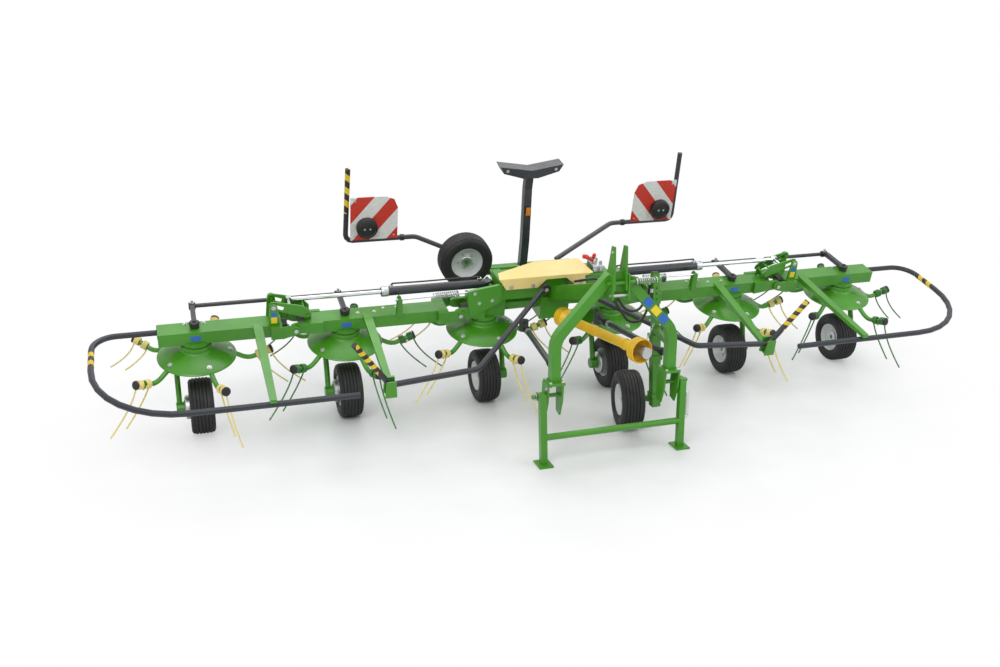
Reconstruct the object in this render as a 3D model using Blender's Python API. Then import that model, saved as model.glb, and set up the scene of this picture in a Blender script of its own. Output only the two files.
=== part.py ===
"""Six-rotor mounted hay tedder, standing parked and unfolded.

World frame: metres, +X to the machine's right, -Y towards the tractor, +Z up, ground at z = 0.
Row frame: the beams and rotors lean forward together, so they are modelled in a tilted frame
(x, f, h): x as in the world, f rearward along the rotor plane, h along the rotor axes.
"""
import bpy
import bmesh
from math import atan2, cos, degrees, hypot, pi, radians, sin
from mathutils import Matrix, Vector

# ---- driving dimensions: row ------------------------------------------------------------------
ROTOR_PITCH = 1.06            # between neighbouring rotor axes
TILT = radians(14.25)         # forward lean of the row
RIM_HEIGHT = 0.568            # height of the rotor rim plane on the rotor line
GAP = 0.0004                  # between pieces that touch
RUN = 0.0055                  # between pieces that move past each other
WELD = 0.00002                # short edges that a Boolean may leave

# rotor
DISC_R = 0.276
HUB_R = 0.112
HUB_TOP = 0.110
ARM_COUNT = 5
ARM_R = 0.0175
ARM_REACH = 0.530
COIL_R = 0.033
COIL_START = 0.408
TINE_REACH = 0.765
TINE_DROP = 0.322
TINE_R = 0.0055
KINGPIN_R = 0.024
KINGPIN_BORE = 0.030

# rotor wheels, and the larger front and spare wheels
WHEEL_R = 0.203
WHEEL_W = 0.170
WHEEL_Y = -0.060              # world position of the axle line
BIG_WHEEL_R = 0.215
BIG_WHEEL_W = 0.165
RIM_R = 0.112
WHEEL_SIDES = 16
AXLE_R = 0.016
AXLE_BORE = 0.0175
LEG_SIDE = 0.150              # from the rotor axis to the wheel leg

# beams
BEAM_HALF = 0.075
BEAM_LOW = 0.135
BEAM_TOP = 0.230
FLANGE_LOW = HUB_TOP + RUN
CENTRE_END = 0.660
HINGE_1_X = 0.745
MID_START = 0.830
MID_END = 1.880
HINGE_2_X = 1.961
OUTER_START = 2.050
OUTER_END = 2.903
HINGE_H = 0.200
HINGE_PIN_R = 0.016
LUG_R = 0.036
LUG_IN = 0.101                # outer face of the inner lugs, along f
LUG_OUT = 0.124               # outer face of the outer lugs

# folding gear
CYL_F = 0.050
CYL_H = 0.362
CYL_BASE_X = 0.480
CYL_R = 0.034
CYL_BORE = 0.0215
ROD_R = 0.016
CYL_END_X = 1.315
ROD_EYE_X = 1.990
LEVER_PIN = (1.865, 0.280)    # x, h
LEVER_FRONT = -0.040            # f of the lever plates' inner faces
LEVER_REAR = 0.072
EAR_PIN = (2.107, 0.372)
SPRING_BASE = (0.680, 0.360)
SPRING_END_X = 1.235
SPRING_F = -0.066

# steering
LEVER_F = 0.252                # reach of each steering lever behind its kingpin
LEVER_SIDE = 0.034
STEER_ROD_R = 0.016
STEER_ROD_F = 0.292
STEER_ROD_H = 0.235

# guards
GUARD_R = 0.021
GUARD_H = 0.182
ARM_X_OUTER = 2.222
ARM_X_MID = 1.436
CLEVIS_PIN = (0.100, 0.393)   # x, h of the inner guard's hinge
CLEVIS_F = -0.158
GUIDE_F = -0.890               # the inner guard's run through its guide fork
FOLD_REACH = 1.442            # where the inner guard crosses its guide fork

# front end, world coordinates
HEAD_Y = -1.300
HEAD_X = 0.420
HEAD_TUBE = 0.066
PRONG_X = 0.042
STAND_Y = -1.345
STAND_X = 0.505
STAND_TOP_X = 0.512            # outside the link plates
LINK_Z = 0.470
POST_FOOT = (0.490, 0.165)      # x, z of the gauge post's ends
POST_HEAD = (0.445, 1.168)
POST_Y = -0.970
POST_SIDE = 0.048
SLEEVE_SIDE = 0.062
SLEEVE_TOP = 0.700
HOSE_X = 0.066                 # beside the tongue
HOSE_R = 0.010
GAUGE_X = 0.305
GAUGE_Y = -0.905
GAUGE_YAW = radians(-10)
PTO_TAIL = (0.0, -0.330, 0.705)
PTO_NOSE = (0.217, -1.290, 0.713)
PTO_R = 0.036
BELL_R = 0.086

# rear end, row frame
REAR_LOW = 0.100                # h of the rear cross tube
REAR_TOP = 0.160
REST_F = 0.680
LIGHT_F = 0.880
LIGHT_X = 1.430
SPARE_AT = (-0.530, 0.545, 0.310)

PAINT = {                      # colour, roughness, metallic
    "green": ((0.13, 0.42, 0.03), 0.35, 0.0),
    "dark": ((0.035, 0.037, 0.042), 0.45, 0.2),
    "rubber": ((0.02, 0.02, 0.02), 0.85, 0.0),
    "yellow": ((0.85, 0.52, 0.03), 0.4, 0.0),
    "cream": ((0.86, 0.68, 0.27), 0.4, 0.0),
    "chrome": ((0.75, 0.76, 0.78), 0.15, 1.0),
    "zinc": ((0.55, 0.57, 0.60), 0.35, 1.0),
    "white": ((0.85, 0.85, 0.85), 0.4, 0.0),
}


# ---- shapes: each returns the mesh of one closed body ------------------------------------------
def finish_mesh(bm):
    bmesh.ops.recalc_face_normals(bm, faces=bm.faces)
    mesh = bpy.data.meshes.new("shape")
    bm.to_mesh(mesh)
    bm.free()
    return mesh


def loft(rings):
    """Close a list of equal rings of points into one body, with a cap at each end."""
    bm = bmesh.new()
    rows = [[bm.verts.new(point) for point in ring] for ring in rings]
    count = len(rows[0])
    for lower, upper in zip(rows, rows[1:]):
        for i in range(count):
            j = (i + 1) % count
            bm.faces.new((lower[i], lower[j], upper[j], upper[i]))
    bm.faces.new(rows[0])
    bm.faces.new(rows[-1])
    return finish_mesh(bm)


def block(x, y, z):
    """A box from its (low, high) pair along each axis."""
    ring = [(x[0], y[0]), (x[1], y[0]), (x[1], y[1]), (x[0], y[1])]
    return loft([[(a, b, level) for a, b in ring] for level in z])


def plate(outline, axis, low, high):
    """An outline of 2-D points pushed along an axis; its points lie in the other two axes."""
    place = {"x": lambda a, b, t: (t, a, b), "y": lambda a, b, t: (a, t, b), "z": lambda a, b, t: (a, b, t)}
    return loft([[place[axis](a, b, t) for a, b in outline] for t in (low, high)])


def ring_points(centre, along, radius, sides, start=0.0, up=(0, 0, 1)):
    """Points round a circle whose normal is along; start turns the first point away from up."""
    along = Vector(along).normalized()
    across = along.cross(Vector(up))
    if across.length < 1e-4:
        across = along.cross(Vector((1, 0, 0)))
    across.normalize()
    rise = across.cross(along)
    turn = [start + 2 * pi * i / sides for i in range(sides)]
    return [Vector(centre) + radius * (rise * cos(a) + across * sin(a)) for a in turn]


def bar(start, end, radius, sides=12):
    """A straight round bar."""
    start, end = Vector(start), Vector(end)
    return loft([ring_points(p, end - start, radius, sides) for p in (start, end)])


def swept(points, radius, sides=8, start=0.0, up=(0, 0, 1)):
    """A bar that follows a path, mitred at each point; four sides and start=pi/4 give box tube."""
    points = [Vector(p) for p in points]
    steps = [(b - a).normalized() for a, b in zip(points, points[1:])]
    rings = [ring_points(points[0], steps[0], radius, sides, start, up)]
    for before, after, corner in zip(steps, steps[1:], points[1:-1]):
        normal = (before + after).normalized()
        ring = []
        for point in rings[-1]:
            reach = (corner - point).dot(normal) / before.dot(normal)
            ring.append(point + before * reach)
        rings.append(ring)
    reach = (points[-1] - points[-2]).length
    last = []
    for point in rings[-1]:
        last.append(point + steps[-1] * (points[-1] - point).dot(steps[-1]))
    rings.append(last)
    return loft(rings)


def rounded(points, radii, steps=3):
    """A path whose corners are replaced by arcs; one radius for each inner corner."""
    points = [Vector(p) for p in points]
    path = [points[0]]
    for before, corner, after, radius in zip(points, points[1:], points[2:], radii):
        back = (before - corner).normalized()
        ahead = (after - corner).normalized()
        half = back.angle(ahead) / 2
        centre = corner + (back + ahead).normalized() * radius / sin(half)
        touch = radius / (sin(half) / cos(half))
        first = corner + back * touch - centre
        last = corner + ahead * touch - centre
        sweep = first.angle(last)
        for i in range(steps + 1):
            share = i / steps
            arm = (first * sin((1 - share) * sweep) + last * sin(share * sweep)) / sin(sweep)
            path.append(centre + arm)
    path.append(points[-1])
    return path


def turned(profile, centre, axis, sides=24):
    """A closed (radius, along) profile turned round an axis through centre."""
    axis = Vector(axis).normalized()
    side = axis.cross(Vector((0, 0, 1)) if abs(axis.z) < 0.9 else Vector((1, 0, 0))).normalized()
    up = side.cross(axis)
    bm = bmesh.new()
    rings = []
    for i in range(sides):
        spoke = side * cos(2 * pi * i / sides) + up * sin(2 * pi * i / sides)
        rings.append([bm.verts.new(Vector(centre) + spoke * r + axis * t) for r, t in profile])
    count = len(profile)
    for i in range(sides):
        here, there = rings[i], rings[(i + 1) % sides]
        for j in range(count):
            k = (j + 1) % count
            bm.faces.new((here[j], here[k], there[k], there[j]))
    return finish_mesh(bm)


def disc(centre, axis, radius, low, high, sides=16):
    """A round plate between two distances along an axis from centre."""
    axis = Vector(axis).normalized()
    return bar(Vector(centre) + axis * low, Vector(centre) + axis * high, radius, sides)


def box_tube(points, side, up=(0, 0, 1)):
    """Square tube that follows a path."""
    return swept(points, side / 2 ** 0.5, 4, pi / 4, up)


# ---- objects -----------------------------------------------------------------------------------
def principled(name, kind):
    colour, roughness, metallic = PAINT[kind]
    material = bpy.data.materials.new(name + "_finish")
    material.use_nodes = True
    shader = material.node_tree.nodes["Principled BSDF"]
    shader.inputs["Base Color"].default_value = (*colour, 1.0)
    shader.inputs["Roughness"].default_value = roughness
    shader.inputs["Metallic"].default_value = metallic
    return material


def combined(base, tool, operation):
    """The mesh left by one exact Boolean, with its stray short edges closed up."""
    pair = [bpy.data.objects.new("operand", mesh) for mesh in (base, tool)]
    for obj in pair:
        bpy.context.scene.collection.objects.link(obj)
    step = pair[0].modifiers.new(operation, "BOOLEAN")
    step.operation = operation
    step.solver = "EXACT"
    step.object = pair[1]
    graph = bpy.context.evaluated_depsgraph_get()
    result = bpy.data.meshes.new_from_object(pair[0].evaluated_get(graph))
    for obj in pair:
        bpy.data.objects.remove(obj, do_unlink=True)
    bm = bmesh.new()
    bm.from_mesh(result)
    bmesh.ops.remove_doubles(bm, verts=bm.verts, dist=WELD)
    bmesh.ops.dissolve_degenerate(bm, edges=bm.edges, dist=WELD)
    bm.to_mesh(result)
    bm.free()
    return result


def merged(bodies, cuts):
    """One mesh: the union of the bodies less the cuts."""
    result = bodies[0]
    for body in bodies[1:]:
        result = combined(result, body, "UNION")
    for cut in cuts:
        result = combined(result, cut, "DIFFERENCE")
    return result


def node(name, kind, bodies, carrier, origin=(0, 0, 0), cuts=()):
    """Add one named piece; origin is in its carrier's outer frame, where its own axes start."""
    mesh = merged(list(bodies), list(cuts))
    mesh.transform(Matrix.Translation(-Vector(origin)))
    mesh.name = name
    mesh.materials.clear()
    mesh.materials.append(principled(name, kind))
    mesh.shade_smooth()
    mesh.set_sharp_from_angle(angle=radians(35))
    obj = bpy.data.objects.new(name, mesh)
    bpy.context.scene.collection.objects.link(obj)
    obj.parent = carrier
    obj.location = Vector(origin) - PLACE.get(carrier.name, Vector()) if carrier else Vector(origin)
    return obj


PLACE = {}


def axis_empty(name, place, parent):
    """An empty on a joint's axis; place is in the outer frame that the parent stands in."""
    empty = bpy.data.objects.new(name, None)
    bpy.context.scene.collection.objects.link(empty)
    empty.parent = parent
    outer = PLACE.get(parent.name, Vector()) if parent else Vector()
    empty.location = Vector(place) - outer
    empty.empty_display_size = 0.1
    PLACE[name] = Vector(place)
    return empty


def to_row(point):
    """World point to row coordinates (x, f, h)."""
    x, y, z = point
    z -= RIM_HEIGHT
    return Vector((x, y * cos(TILT) + z * sin(TILT), z * cos(TILT) - y * sin(TILT)))


def rotor_x(index):
    """Rotor 1 is at the left end, rotor 6 at the right end."""
    return (index - 3.5) * ROTOR_PITCH


# ---- rotors and wheels -------------------------------------------------------------------------
def curved(start, knee, tip, shares):
    """Points on the curve that leaves start towards knee and arrives at tip."""
    return [start * (1 - t) ** 2 + knee * (2 * t * (1 - t)) + tip * t * t for t in shares]


def rotor_mesh():
    """Dished disc with hub ring, five arms, each with a coil sleeve and two tines."""
    profile = [
        (KINGPIN_BORE, -0.030), (0.100, -0.030), (0.125, -0.009), (DISC_R, -0.001), (0.215, 0.036), (HUB_R, 0.070),
        (HUB_R, HUB_TOP), (KINGPIN_BORE, HUB_TOP)]
    result = turned(profile, (0, 0, 0), (0, 0, 1), 18)
    # radius and h along one arm, from inside the disc to its cap
    arm = [Vector((r, 0, h)) for r, h in (
        (0.215, 0.013), (0.325, -0.050), (0.375, -0.059), (ARM_REACH - 0.004, -0.002))]
    slope = (arm[-1] - arm[-2]).normalized()
    sleeve = bar(arm[-2] + slope * (COIL_START - 0.375), arm[-1] + slope * 0.004, COIL_R, 7)
    # start, knee and tip of the outer and the inner tine: radius, h
    tines = [((0.503, -0.018), (0.560, -0.155), (TINE_REACH, -TINE_DROP)),
             ((0.430, -0.042), (0.472, -0.165), (0.635, -TINE_DROP + 0.010))]
    bodies = [swept(arm, ARM_R, 5, 0.0, (0, 1, 0)), sleeve]
    for corners in tines:
        start, knee, tip = (Vector((r, 0, h)) for r, h in corners)
        bodies.append(swept(curved(start, knee, tip, (0.0, 0.5, 1.0)), TINE_R * 1.15, 3, pi / 3, (0, 1, 0)))
    one_arm = merged(bodies, [])
    for k in range(ARM_COUNT):
        copy = one_arm.copy()
        copy.transform(Matrix.Rotation(2 * pi * k / ARM_COUNT, 4, "Z"))
        result = combined(result, copy, "UNION")
    return result


def wheel_mesh(radius, width, hub_side):
    """Tyre and rim in one body along x, with an axle bore and a hub boss on one side."""
    half = width / 2
    left = [(AXLE_BORE, 0.55), (0.045, 0.55), (0.055, 0.28), (RIM_R - 0.008, 0.28), (RIM_R + 0.004, 0.90),
            (radius * 0.86, 1.0), (radius, 0.66)]
    profile = [(r, -half * t) for r, t in left] + [(r, half * t) for r, t in reversed(left)]
    return turned(profile, (0, 0, 0), (hub_side, 0, 0), WHEEL_SIDES)


def add_rotor(index, section, shared):
    """Rotor, wheel and its leg; the leg turns on the rotor's own axis."""
    x = rotor_x(index)
    rotor = node("rotor_%d" % index, "green", [shared["rotor"].copy()], section)
    rotor.location = Vector((x, 0, 0)) - PLACE[section.name]
    steer = axis_empty("steer_axis_%d" % index, (x, 0, 0), section)
    side = {1: -1, 2: -1, 3: 1, 4: -1, 5: 1, 6: 1}[index]
    axle = to_row((x, WHEEL_Y, WHEEL_R))
    leg_x = x + side * LEG_SIDE
    half = WHEEL_W / 2
    top = -0.062
    # the leg: out from the kingpin's foot, round the corner and down to the axle
    path = rounded([
        (x, 0.0, top), (leg_x, 0.0, top), (leg_x, axle.y * 0.55, -0.185), (leg_x, axle.y, axle.z)],
        [0.045, 0.120])
    hub_face = x + side * (half * 0.55 + RUN)
    bodies = [
        swept(path, 0.021, 6),
        disc((x, 0, 0), (0, 0, 1), 0.045, top - 0.016, -0.030 - RUN, 16),
        bar((leg_x + side * 0.024, axle.y, axle.z), (hub_face, axle.y, axle.z), 0.042, 12),
        bar((hub_face + side * 0.01, axle.y, axle.z), (x - side * (half * 0.55 - 0.004), axle.y, axle.z),
            AXLE_R, 12),
    ]
    pin_top = HUB_TOP - 0.004
    if index not in (3, 4):
        pin_top = BEAM_TOP + 0.020
        bodies.append(disc((x, 0, 0), (0, 0, 1), 0.034, BEAM_TOP + RUN, BEAM_TOP + 0.030, 12))
        bodies.append(box_tube([(x, 0.0, BEAM_TOP + 0.024), (x, LEVER_F, BEAM_TOP + 0.020)], LEVER_SIDE))
    bodies.insert(1, bar((x, 0, top), (x, 0, pin_top), KINGPIN_R, 12))
    node("wheel_leg_%d" % index, "green", bodies, steer, (x, 0, 0))
    wheel = node("wheel_%d" % index, "rubber", [shared["wheel", side].copy()], steer)
    wheel.location = axle - PLACE[steer.name]
    wheel.rotation_euler = (-TILT, 0, 0)


# ---- beams ---------------------------------------------------------------------------------------
def lugs(x_pin, toward, inner, reach):
    """Hinge lugs on both faces of a beam end; toward points from the beam to the pin along x."""
    bodies = []
    root = x_pin - toward * reach
    inner_f = BEAM_HALF - 0.005 if inner else LUG_IN + RUN
    outer_f = LUG_IN if inner else LUG_OUT
    for face in (-1, 1):
        span = sorted((face * inner_f, face * outer_f))
        tip = [
            (x_pin + toward * LUG_R * sin(a), HINGE_H + LUG_R * cos(a)) for a in (0, pi / 4, pi / 2, 3 * pi / 4, pi)]
        outline = tip + [(root, BEAM_LOW + 0.004), (root, BEAM_TOP + 0.004)]
        bodies.append(plate(outline, "y", *span))
        if inner:
            bodies.append(bar((x_pin, face * (inner_f + 0.004), HINGE_H), (x_pin, face * (LUG_OUT + 0.010), HINGE_H),
                              HINGE_PIN_R, 12))
        else:
            pad = sorted((face * (BEAM_HALF - 0.005), face * (LUG_OUT - 0.001)))
            bodies.append(block(sorted((root, root - toward * 0.080)), pad, (BEAM_LOW + 0.006, BEAM_TOP + 0.002)))
    return bodies


def pin_holes(x_pin):
    """Cutters for the hinge pin's holes in the outer lugs."""
    return [bar((x_pin, face * 0.09, HINGE_H), (x_pin, face * 0.15, HINGE_H), HINGE_PIN_R + 0.002, 12)
            for face in (-1, 1)]


def ear_pair(x, h, foot, inner, outer, width=0.030, shape=None):
    """Two upright plates either side of a pin, rising from height foot; inner and outer are f faces."""
    bodies = []
    outline = shape or [(x - width, foot), (x + width, foot), (x + width * 0.8, h), (x, h + width * 0.8),
                        (x - width * 0.8, h)]
    for low, high in (inner, outer):
        bodies.append(plate(outline, "y", low, high))
    return bodies


def guard_arm(x, s, f_end, h_start, h_end):
    """Green strut from the beam's top front edge forward to a guard tube."""
    rings = []
    for f, h, w, t in ((-0.045, h_start, 0.032, 0.030), (-0.120, h_start - 0.004, 0.032, 0.030),
                       (f_end, h_end, 0.022, 0.020)):
        rings.append([(x - w, f, h - t), (x + w, f, h - t), (x + w, f, h + t * 0.4), (x - w, f, h + t * 0.4)])
    return loft(rings)


def add_centre(row):
    bodies = [
        block((-0.445, 0.445), (-0.098, 0.098), (0.290, 0.440)),
        block((-0.115, 0.115), (-0.130, 0.120), (0.110, 0.300)),
        bar((-0.400, 0, 0.205), (0.400, 0, 0.205), 0.052, 12),
    ]
    cuts = []
    for s in (-1, 1):
        x = s * 0.5 * ROTOR_PITCH
        bodies += [
            block(sorted((s * 0.380, s * CENTRE_END)), (-BEAM_HALF, BEAM_HALF), (BEAM_LOW, 0.300)),
            disc((x, 0, 0), (0, 0, 1), 0.105, FLANGE_LOW, BEAM_LOW + 0.010, 20),
            plate([(s * 0.430, 0.280), (s * 0.660, 0.170), (s * 0.690, 0.300), (s * 0.690, 0.385), (s * 0.640, 0.400),
                   (s * 0.430, 0.430)], "y", -0.112, -0.088),
        ]
        bodies += lugs(s * HINGE_1_X, s, True, 0.200)
        # cylinder base ears and pin
        bodies += ear_pair(s * CYL_BASE_X, CYL_H, 0.280, (-0.016, -0.004), (0.104, 0.116))
        bodies.append(bar((s * CYL_BASE_X, -0.010, CYL_H), (s * CYL_BASE_X, 0.110, CYL_H), 0.012, 10))
        # spring rod pin, standing forward of the side plate
        bodies.append(bar((s * SPRING_BASE[0] - s * 0.01, -0.100, SPRING_BASE[1]),
                          (s * SPRING_BASE[0] - s * 0.01, -0.050, SPRING_BASE[1]), 0.009, 8))
        # clevis pin of the inner guard
        bodies.append(bar((s * CLEVIS_PIN[0], CLEVIS_F - 0.026, CLEVIS_PIN[1]),
                          (s * CLEVIS_PIN[0], -0.090, CLEVIS_PIN[1]), 0.010, 10))
        # rear bracket of the light frame
        bodies.append(block(sorted((s * 0.200, s * 0.290)), (0.090, 0.660), (REAR_LOW + 0.010, REAR_TOP - 0.005)))
    bodies += [
        block((-0.440, 0.440), (0.635, 0.700), (REAR_LOW, REAR_TOP)),                  # rear cross tube
        block((-0.060, 0.060), (0.080, 0.690), (REAR_LOW + 0.010, REAR_TOP - 0.001)),  # spine to the transport rest
        block((-0.400, 0.400), (0.085, 0.140), (REAR_LOW + 0.010, 0.295)),
    ]
    # tongue to the headstock, in row coordinates
    tongue = [to_row((0, -0.100, 0.820)), to_row((0, -0.450, 0.930)), to_row((0, HEAD_Y + 0.054, 1.150))]
    bodies.append(box_tube(tongue, 0.105))
    node("centre_frame", "green", bodies, row, cuts=cuts)


def add_mid_beam(s, name, section):
    x = s * 1.5 * ROTOR_PITCH
    bodies = [
        block(sorted((s * MID_START, s * MID_END)), (-BEAM_HALF, BEAM_HALF), (BEAM_LOW, BEAM_TOP)),
        disc((x, 0, 0), (0, 0, 1), 0.105, FLANGE_LOW, BEAM_LOW + 0.010, 20),
    ]
    bodies += lugs(s * HINGE_1_X, -s, False, 0.085)
    bodies += lugs(s * HINGE_2_X, s, True, 0.200)
    # lever ears and pin
    lx, lh = LEVER_PIN
    bodies += ear_pair(s * lx, lh, BEAM_TOP - 0.010, (-0.028, -0.016), (0.048, 0.060), 0.026)
    bodies.append(bar((s * lx, -0.062, lh), (s * lx, 0.054, lh), 0.011, 10))
    # guide for the spring rod
    bodies += ear_pair(s * (SPRING_END_X - 0.035), SPRING_BASE[1], BEAM_TOP - 0.010,
                       (SPRING_F - 0.026, SPRING_F - 0.016), (SPRING_F + 0.016, SPRING_F + 0.026), 0.020)
    guide = sorted((s * (SPRING_END_X - 0.055), s * (SPRING_END_X - 0.015)))
    bodies.append(block(guide, (SPRING_F - 0.024, SPRING_F + 0.030), (BEAM_TOP - 0.012, BEAM_TOP + 0.008)))
    # guard arm with its guide fork
    bodies.append(guard_arm(s * ARM_X_MID, s, -0.862, BEAM_TOP, 0.160))
    fork_x = s * FOLD_REACH
    for low, high in ((GUIDE_F - 0.038, GUIDE_F - 0.029), (GUIDE_F + 0.026, GUIDE_F + 0.044)):
        bodies.append(plate([(fork_x - 0.040, 0.100), (fork_x + 0.040, 0.100), (fork_x + 0.034, 0.225),
                             (fork_x - 0.034, 0.225)], "y", low, high))
    bodies.append(block((fork_x - 0.030, fork_x + 0.030), (GUIDE_F - 0.032, GUIDE_F + 0.040), (0.101, 0.113)))
    cuts = pin_holes(s * HINGE_1_X)
    cuts.append(bar((x, 0, FLANGE_LOW - 0.01), (x, 0, BEAM_TOP + 0.01), KINGPIN_BORE, 12))
    node("mid_beam_" + name, "green", bodies, section, (s * HINGE_1_X, 0, HINGE_H), cuts)


def add_outer_beam(s, name, section):
    x = s * 2.5 * ROTOR_PITCH
    bodies = [
        block(sorted((s * OUTER_START, s * OUTER_END)), (-BEAM_HALF, BEAM_HALF), (BEAM_LOW, BEAM_TOP)),
        disc((x, 0, 0), (0, 0, 1), 0.105, FLANGE_LOW, BEAM_LOW + 0.010, 20),
    ]
    bodies += lugs(s * HINGE_2_X, -s, False, 0.095)
    # ears that the folding lever pulls on
    ex, eh = EAR_PIN
    shape = [(s * (ex - 0.040), BEAM_TOP - 0.012), (s * (ex + 0.040), BEAM_TOP - 0.012), (s * (ex + 0.028), eh),
             (s * (ex + 0.020), eh + 0.020), (s * ex, eh + 0.028), (s * (ex - 0.020), eh + 0.020),
             (s * (ex - 0.028), eh)]
    bodies += ear_pair(s * ex, eh, 0, (-0.074, -0.060), (0.092, 0.106), shape=shape)
    bodies.append(bar((s * ex, -0.066, eh), (s * ex, -0.030, eh), 0.011, 10))
    bodies.append(bar((s * ex, 0.098, eh), (s * ex, 0.062, eh), 0.011, 10))
    bodies.append(guard_arm(s * ARM_X_OUTER, s, -0.985, BEAM_TOP, 0.222))
    cuts = pin_holes(s * HINGE_2_X)
    cuts.append(bar((x, 0, FLANGE_LOW - 0.01), (x, 0, BEAM_TOP + 0.01), KINGPIN_BORE, 12))
    node("outer_beam_" + name, "green", bodies, section, (s * HINGE_2_X, 0, HINGE_H), cuts)


# ---- guards --------------------------------------------------------------------------------------
def add_outer_guard(s, name, section):
    path = rounded([
        (s * (OUTER_END + GAP), 0.050, GUARD_H), (s * 3.335, 0.050, GUARD_H), (s * 3.335, -0.960, GUARD_H),
        (s * 1.660, -0.960, GUARD_H - 0.006)], [0.160, 0.600], 8)
    node("outer_guard_" + name, "dark", [swept(path, GUARD_R, 8)], section, (s * HINGE_2_X, 0, HINGE_H))


def add_inner_guard(s, name, section):
    cx, ch = CLEVIS_PIN
    f_eye = CLEVIS_F
    path = rounded([
        (s * (cx + 0.030), f_eye - 0.014, ch - 0.005), (s * 0.830, GUIDE_F, 0.232), (s * FOLD_REACH, GUIDE_F, 0.180),
        (s * 1.690, GUIDE_F, 0.525)], [0.07, 0.07])
    eye = turned([(0.0115, -0.014), (0.036, -0.014), (0.036, 0.014), (0.0115, 0.014)], (s * cx, f_eye, ch),
                 (0, 1, 0), 12)
    node("inner_guard_" + name, "dark", [swept(path, GUARD_R, 8), eye], section, (s * cx, f_eye, ch))


# ---- folding gear --------------------------------------------------------------------------------
def add_cylinder(s, name, barrel_axis):
    outer = bar((s * (CYL_BASE_X + 0.036), CYL_F, CYL_H), (s * CYL_END_X, CYL_F, CYL_H), CYL_R, 16)
    neck = block(sorted((s * CYL_BASE_X, s * (CYL_BASE_X + 0.045))), (CYL_F - 0.026, CYL_F + 0.026),
                 (CYL_H - 0.020, CYL_H + 0.020))
    eye = bar((s * CYL_BASE_X, CYL_F - 0.026, CYL_H), (s * CYL_BASE_X, CYL_F + 0.026, CYL_H), 0.027, 12)
    bore = bar((s * (CYL_BASE_X + 0.075), CYL_F, CYL_H), (s * (CYL_END_X + 0.02), CYL_F, CYL_H), CYL_BORE, 12)
    hole = bar((s * CYL_BASE_X, CYL_F - 0.03, CYL_H), (s * CYL_BASE_X, CYL_F + 0.03, CYL_H), 0.0135, 10)
    node("cylinder_" + name, "dark", [outer, neck, eye], barrel_axis, (s * CYL_BASE_X, CYL_F, CYL_H), [bore, hole])
    rod = bar((s * (ROD_EYE_X - 0.960), CYL_F, CYL_H), (s * (ROD_EYE_X - 0.020), CYL_F, CYL_H), ROD_R, 12)
    rod_eye = bar((s * ROD_EYE_X, CYL_F - 0.019, CYL_H), (s * ROD_EYE_X, CYL_F + 0.018, CYL_H), 0.027, 12)
    rod_pin = bar((s * ROD_EYE_X, LEVER_FRONT + RUN / 2, CYL_H), (s * ROD_EYE_X, CYL_F, CYL_H), 0.011, 10)
    node("cylinder_rod_" + name, "chrome", [rod, rod_eye, rod_pin], barrel_axis, (s * ROD_EYE_X, CYL_F, CYL_H))


def add_fold_lever(s, name, section):
    """Two plates on the mid beam's lever pin, joined by a cross bar, with slots for the ear pins."""
    lx, lh = LEVER_PIN
    ex, eh = EAR_PIN
    slope = atan2(eh - lh, ex - lx)
    reach = hypot(eh - lh, ex - lx)
    across = Vector((-sin(slope), cos(slope)))
    along = Vector((cos(slope), sin(slope)))
    base = Vector((lx, lh))
    corners = [(-0.026, 0.0), (-0.018, 0.020), (0.060, 0.060), (reach, 0.034), (reach + 0.024, 0.024),
               (reach + 0.030, 0.0), (reach + 0.024, -0.024), (reach, -0.028), (0.0, -0.026)]
    outline = []
    for a, b in corners:
        p = base + along * a + across * b
        outline.append((s * p.x, p.y))
    bodies = []
    cuts = []
    for low, high in ((LEVER_FRONT - 0.012, LEVER_FRONT), (LEVER_REAR, LEVER_REAR + 0.012)):
        bodies.append(plate(outline, "y", low, high))
    spread = base + along * 0.045 + across * 0.040
    bodies.append(bar((s * spread.x, -0.046, spread.y), (s * spread.x, 0.078, spread.y), 0.008, 8))
    slot = []
    for a, b in ((reach - 0.078, -0.0155), (reach + 0.0135, -0.0155), (reach + 0.0135, 0.0155), (reach - 0.078, 0.0155)):
        p = base + along * a + across * b
        slot.append((s * p.x, p.y))
    cuts.append(plate(slot, "y", -0.060, -0.030))
    cuts.append(plate(slot, "y", 0.060, 0.090))
    cuts.append(bar((s * lx, -0.060, lh), (s * lx, -0.030, lh), 0.0125, 10))
    node("fold_lever_" + name, "green", bodies, section, (s * lx, 0, lh), cuts)


def add_steer_rods(s, name, mid, outer):
    """Rods behind the steering levers; each slides with the lever that it follows."""
    for section, label, x0, x1 in ((mid, "mid", 1.270, 1.975), (outer, "outer", 2.065, 2.660)):
        path = [(s * x0, STEER_ROD_F, STEER_ROD_H), (s * x1, STEER_ROD_F, STEER_ROD_H)]
        node("steer_rod_%s_%s" % (label, name), "dark", [bar(*path, STEER_ROD_R, 8)], section, path[0])


def add_spring_rod(s, name, carrier):
    bx, bh = SPRING_BASE
    bx -= 0.01
    eye = turned([(0.0105, -0.012), (0.020, -0.012), (0.020, 0.012), (0.0105, 0.012)], (s * bx, SPRING_F, bh),
                 (0, 1, 0), 10)
    rod = bar((s * (bx + 0.016), SPRING_F, bh), (s * SPRING_END_X, SPRING_F, bh - 0.012), 0.008, 8)
    spring = bar((s * (bx + 0.080), SPRING_F, bh - 0.001), (s * (bx + 0.270), SPRING_F, bh - 0.005), 0.026, 12)
    node("spring_rod_" + name, "zinc", [rod, eye, spring], carrier, (s * bx, SPRING_F, bh))


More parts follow.
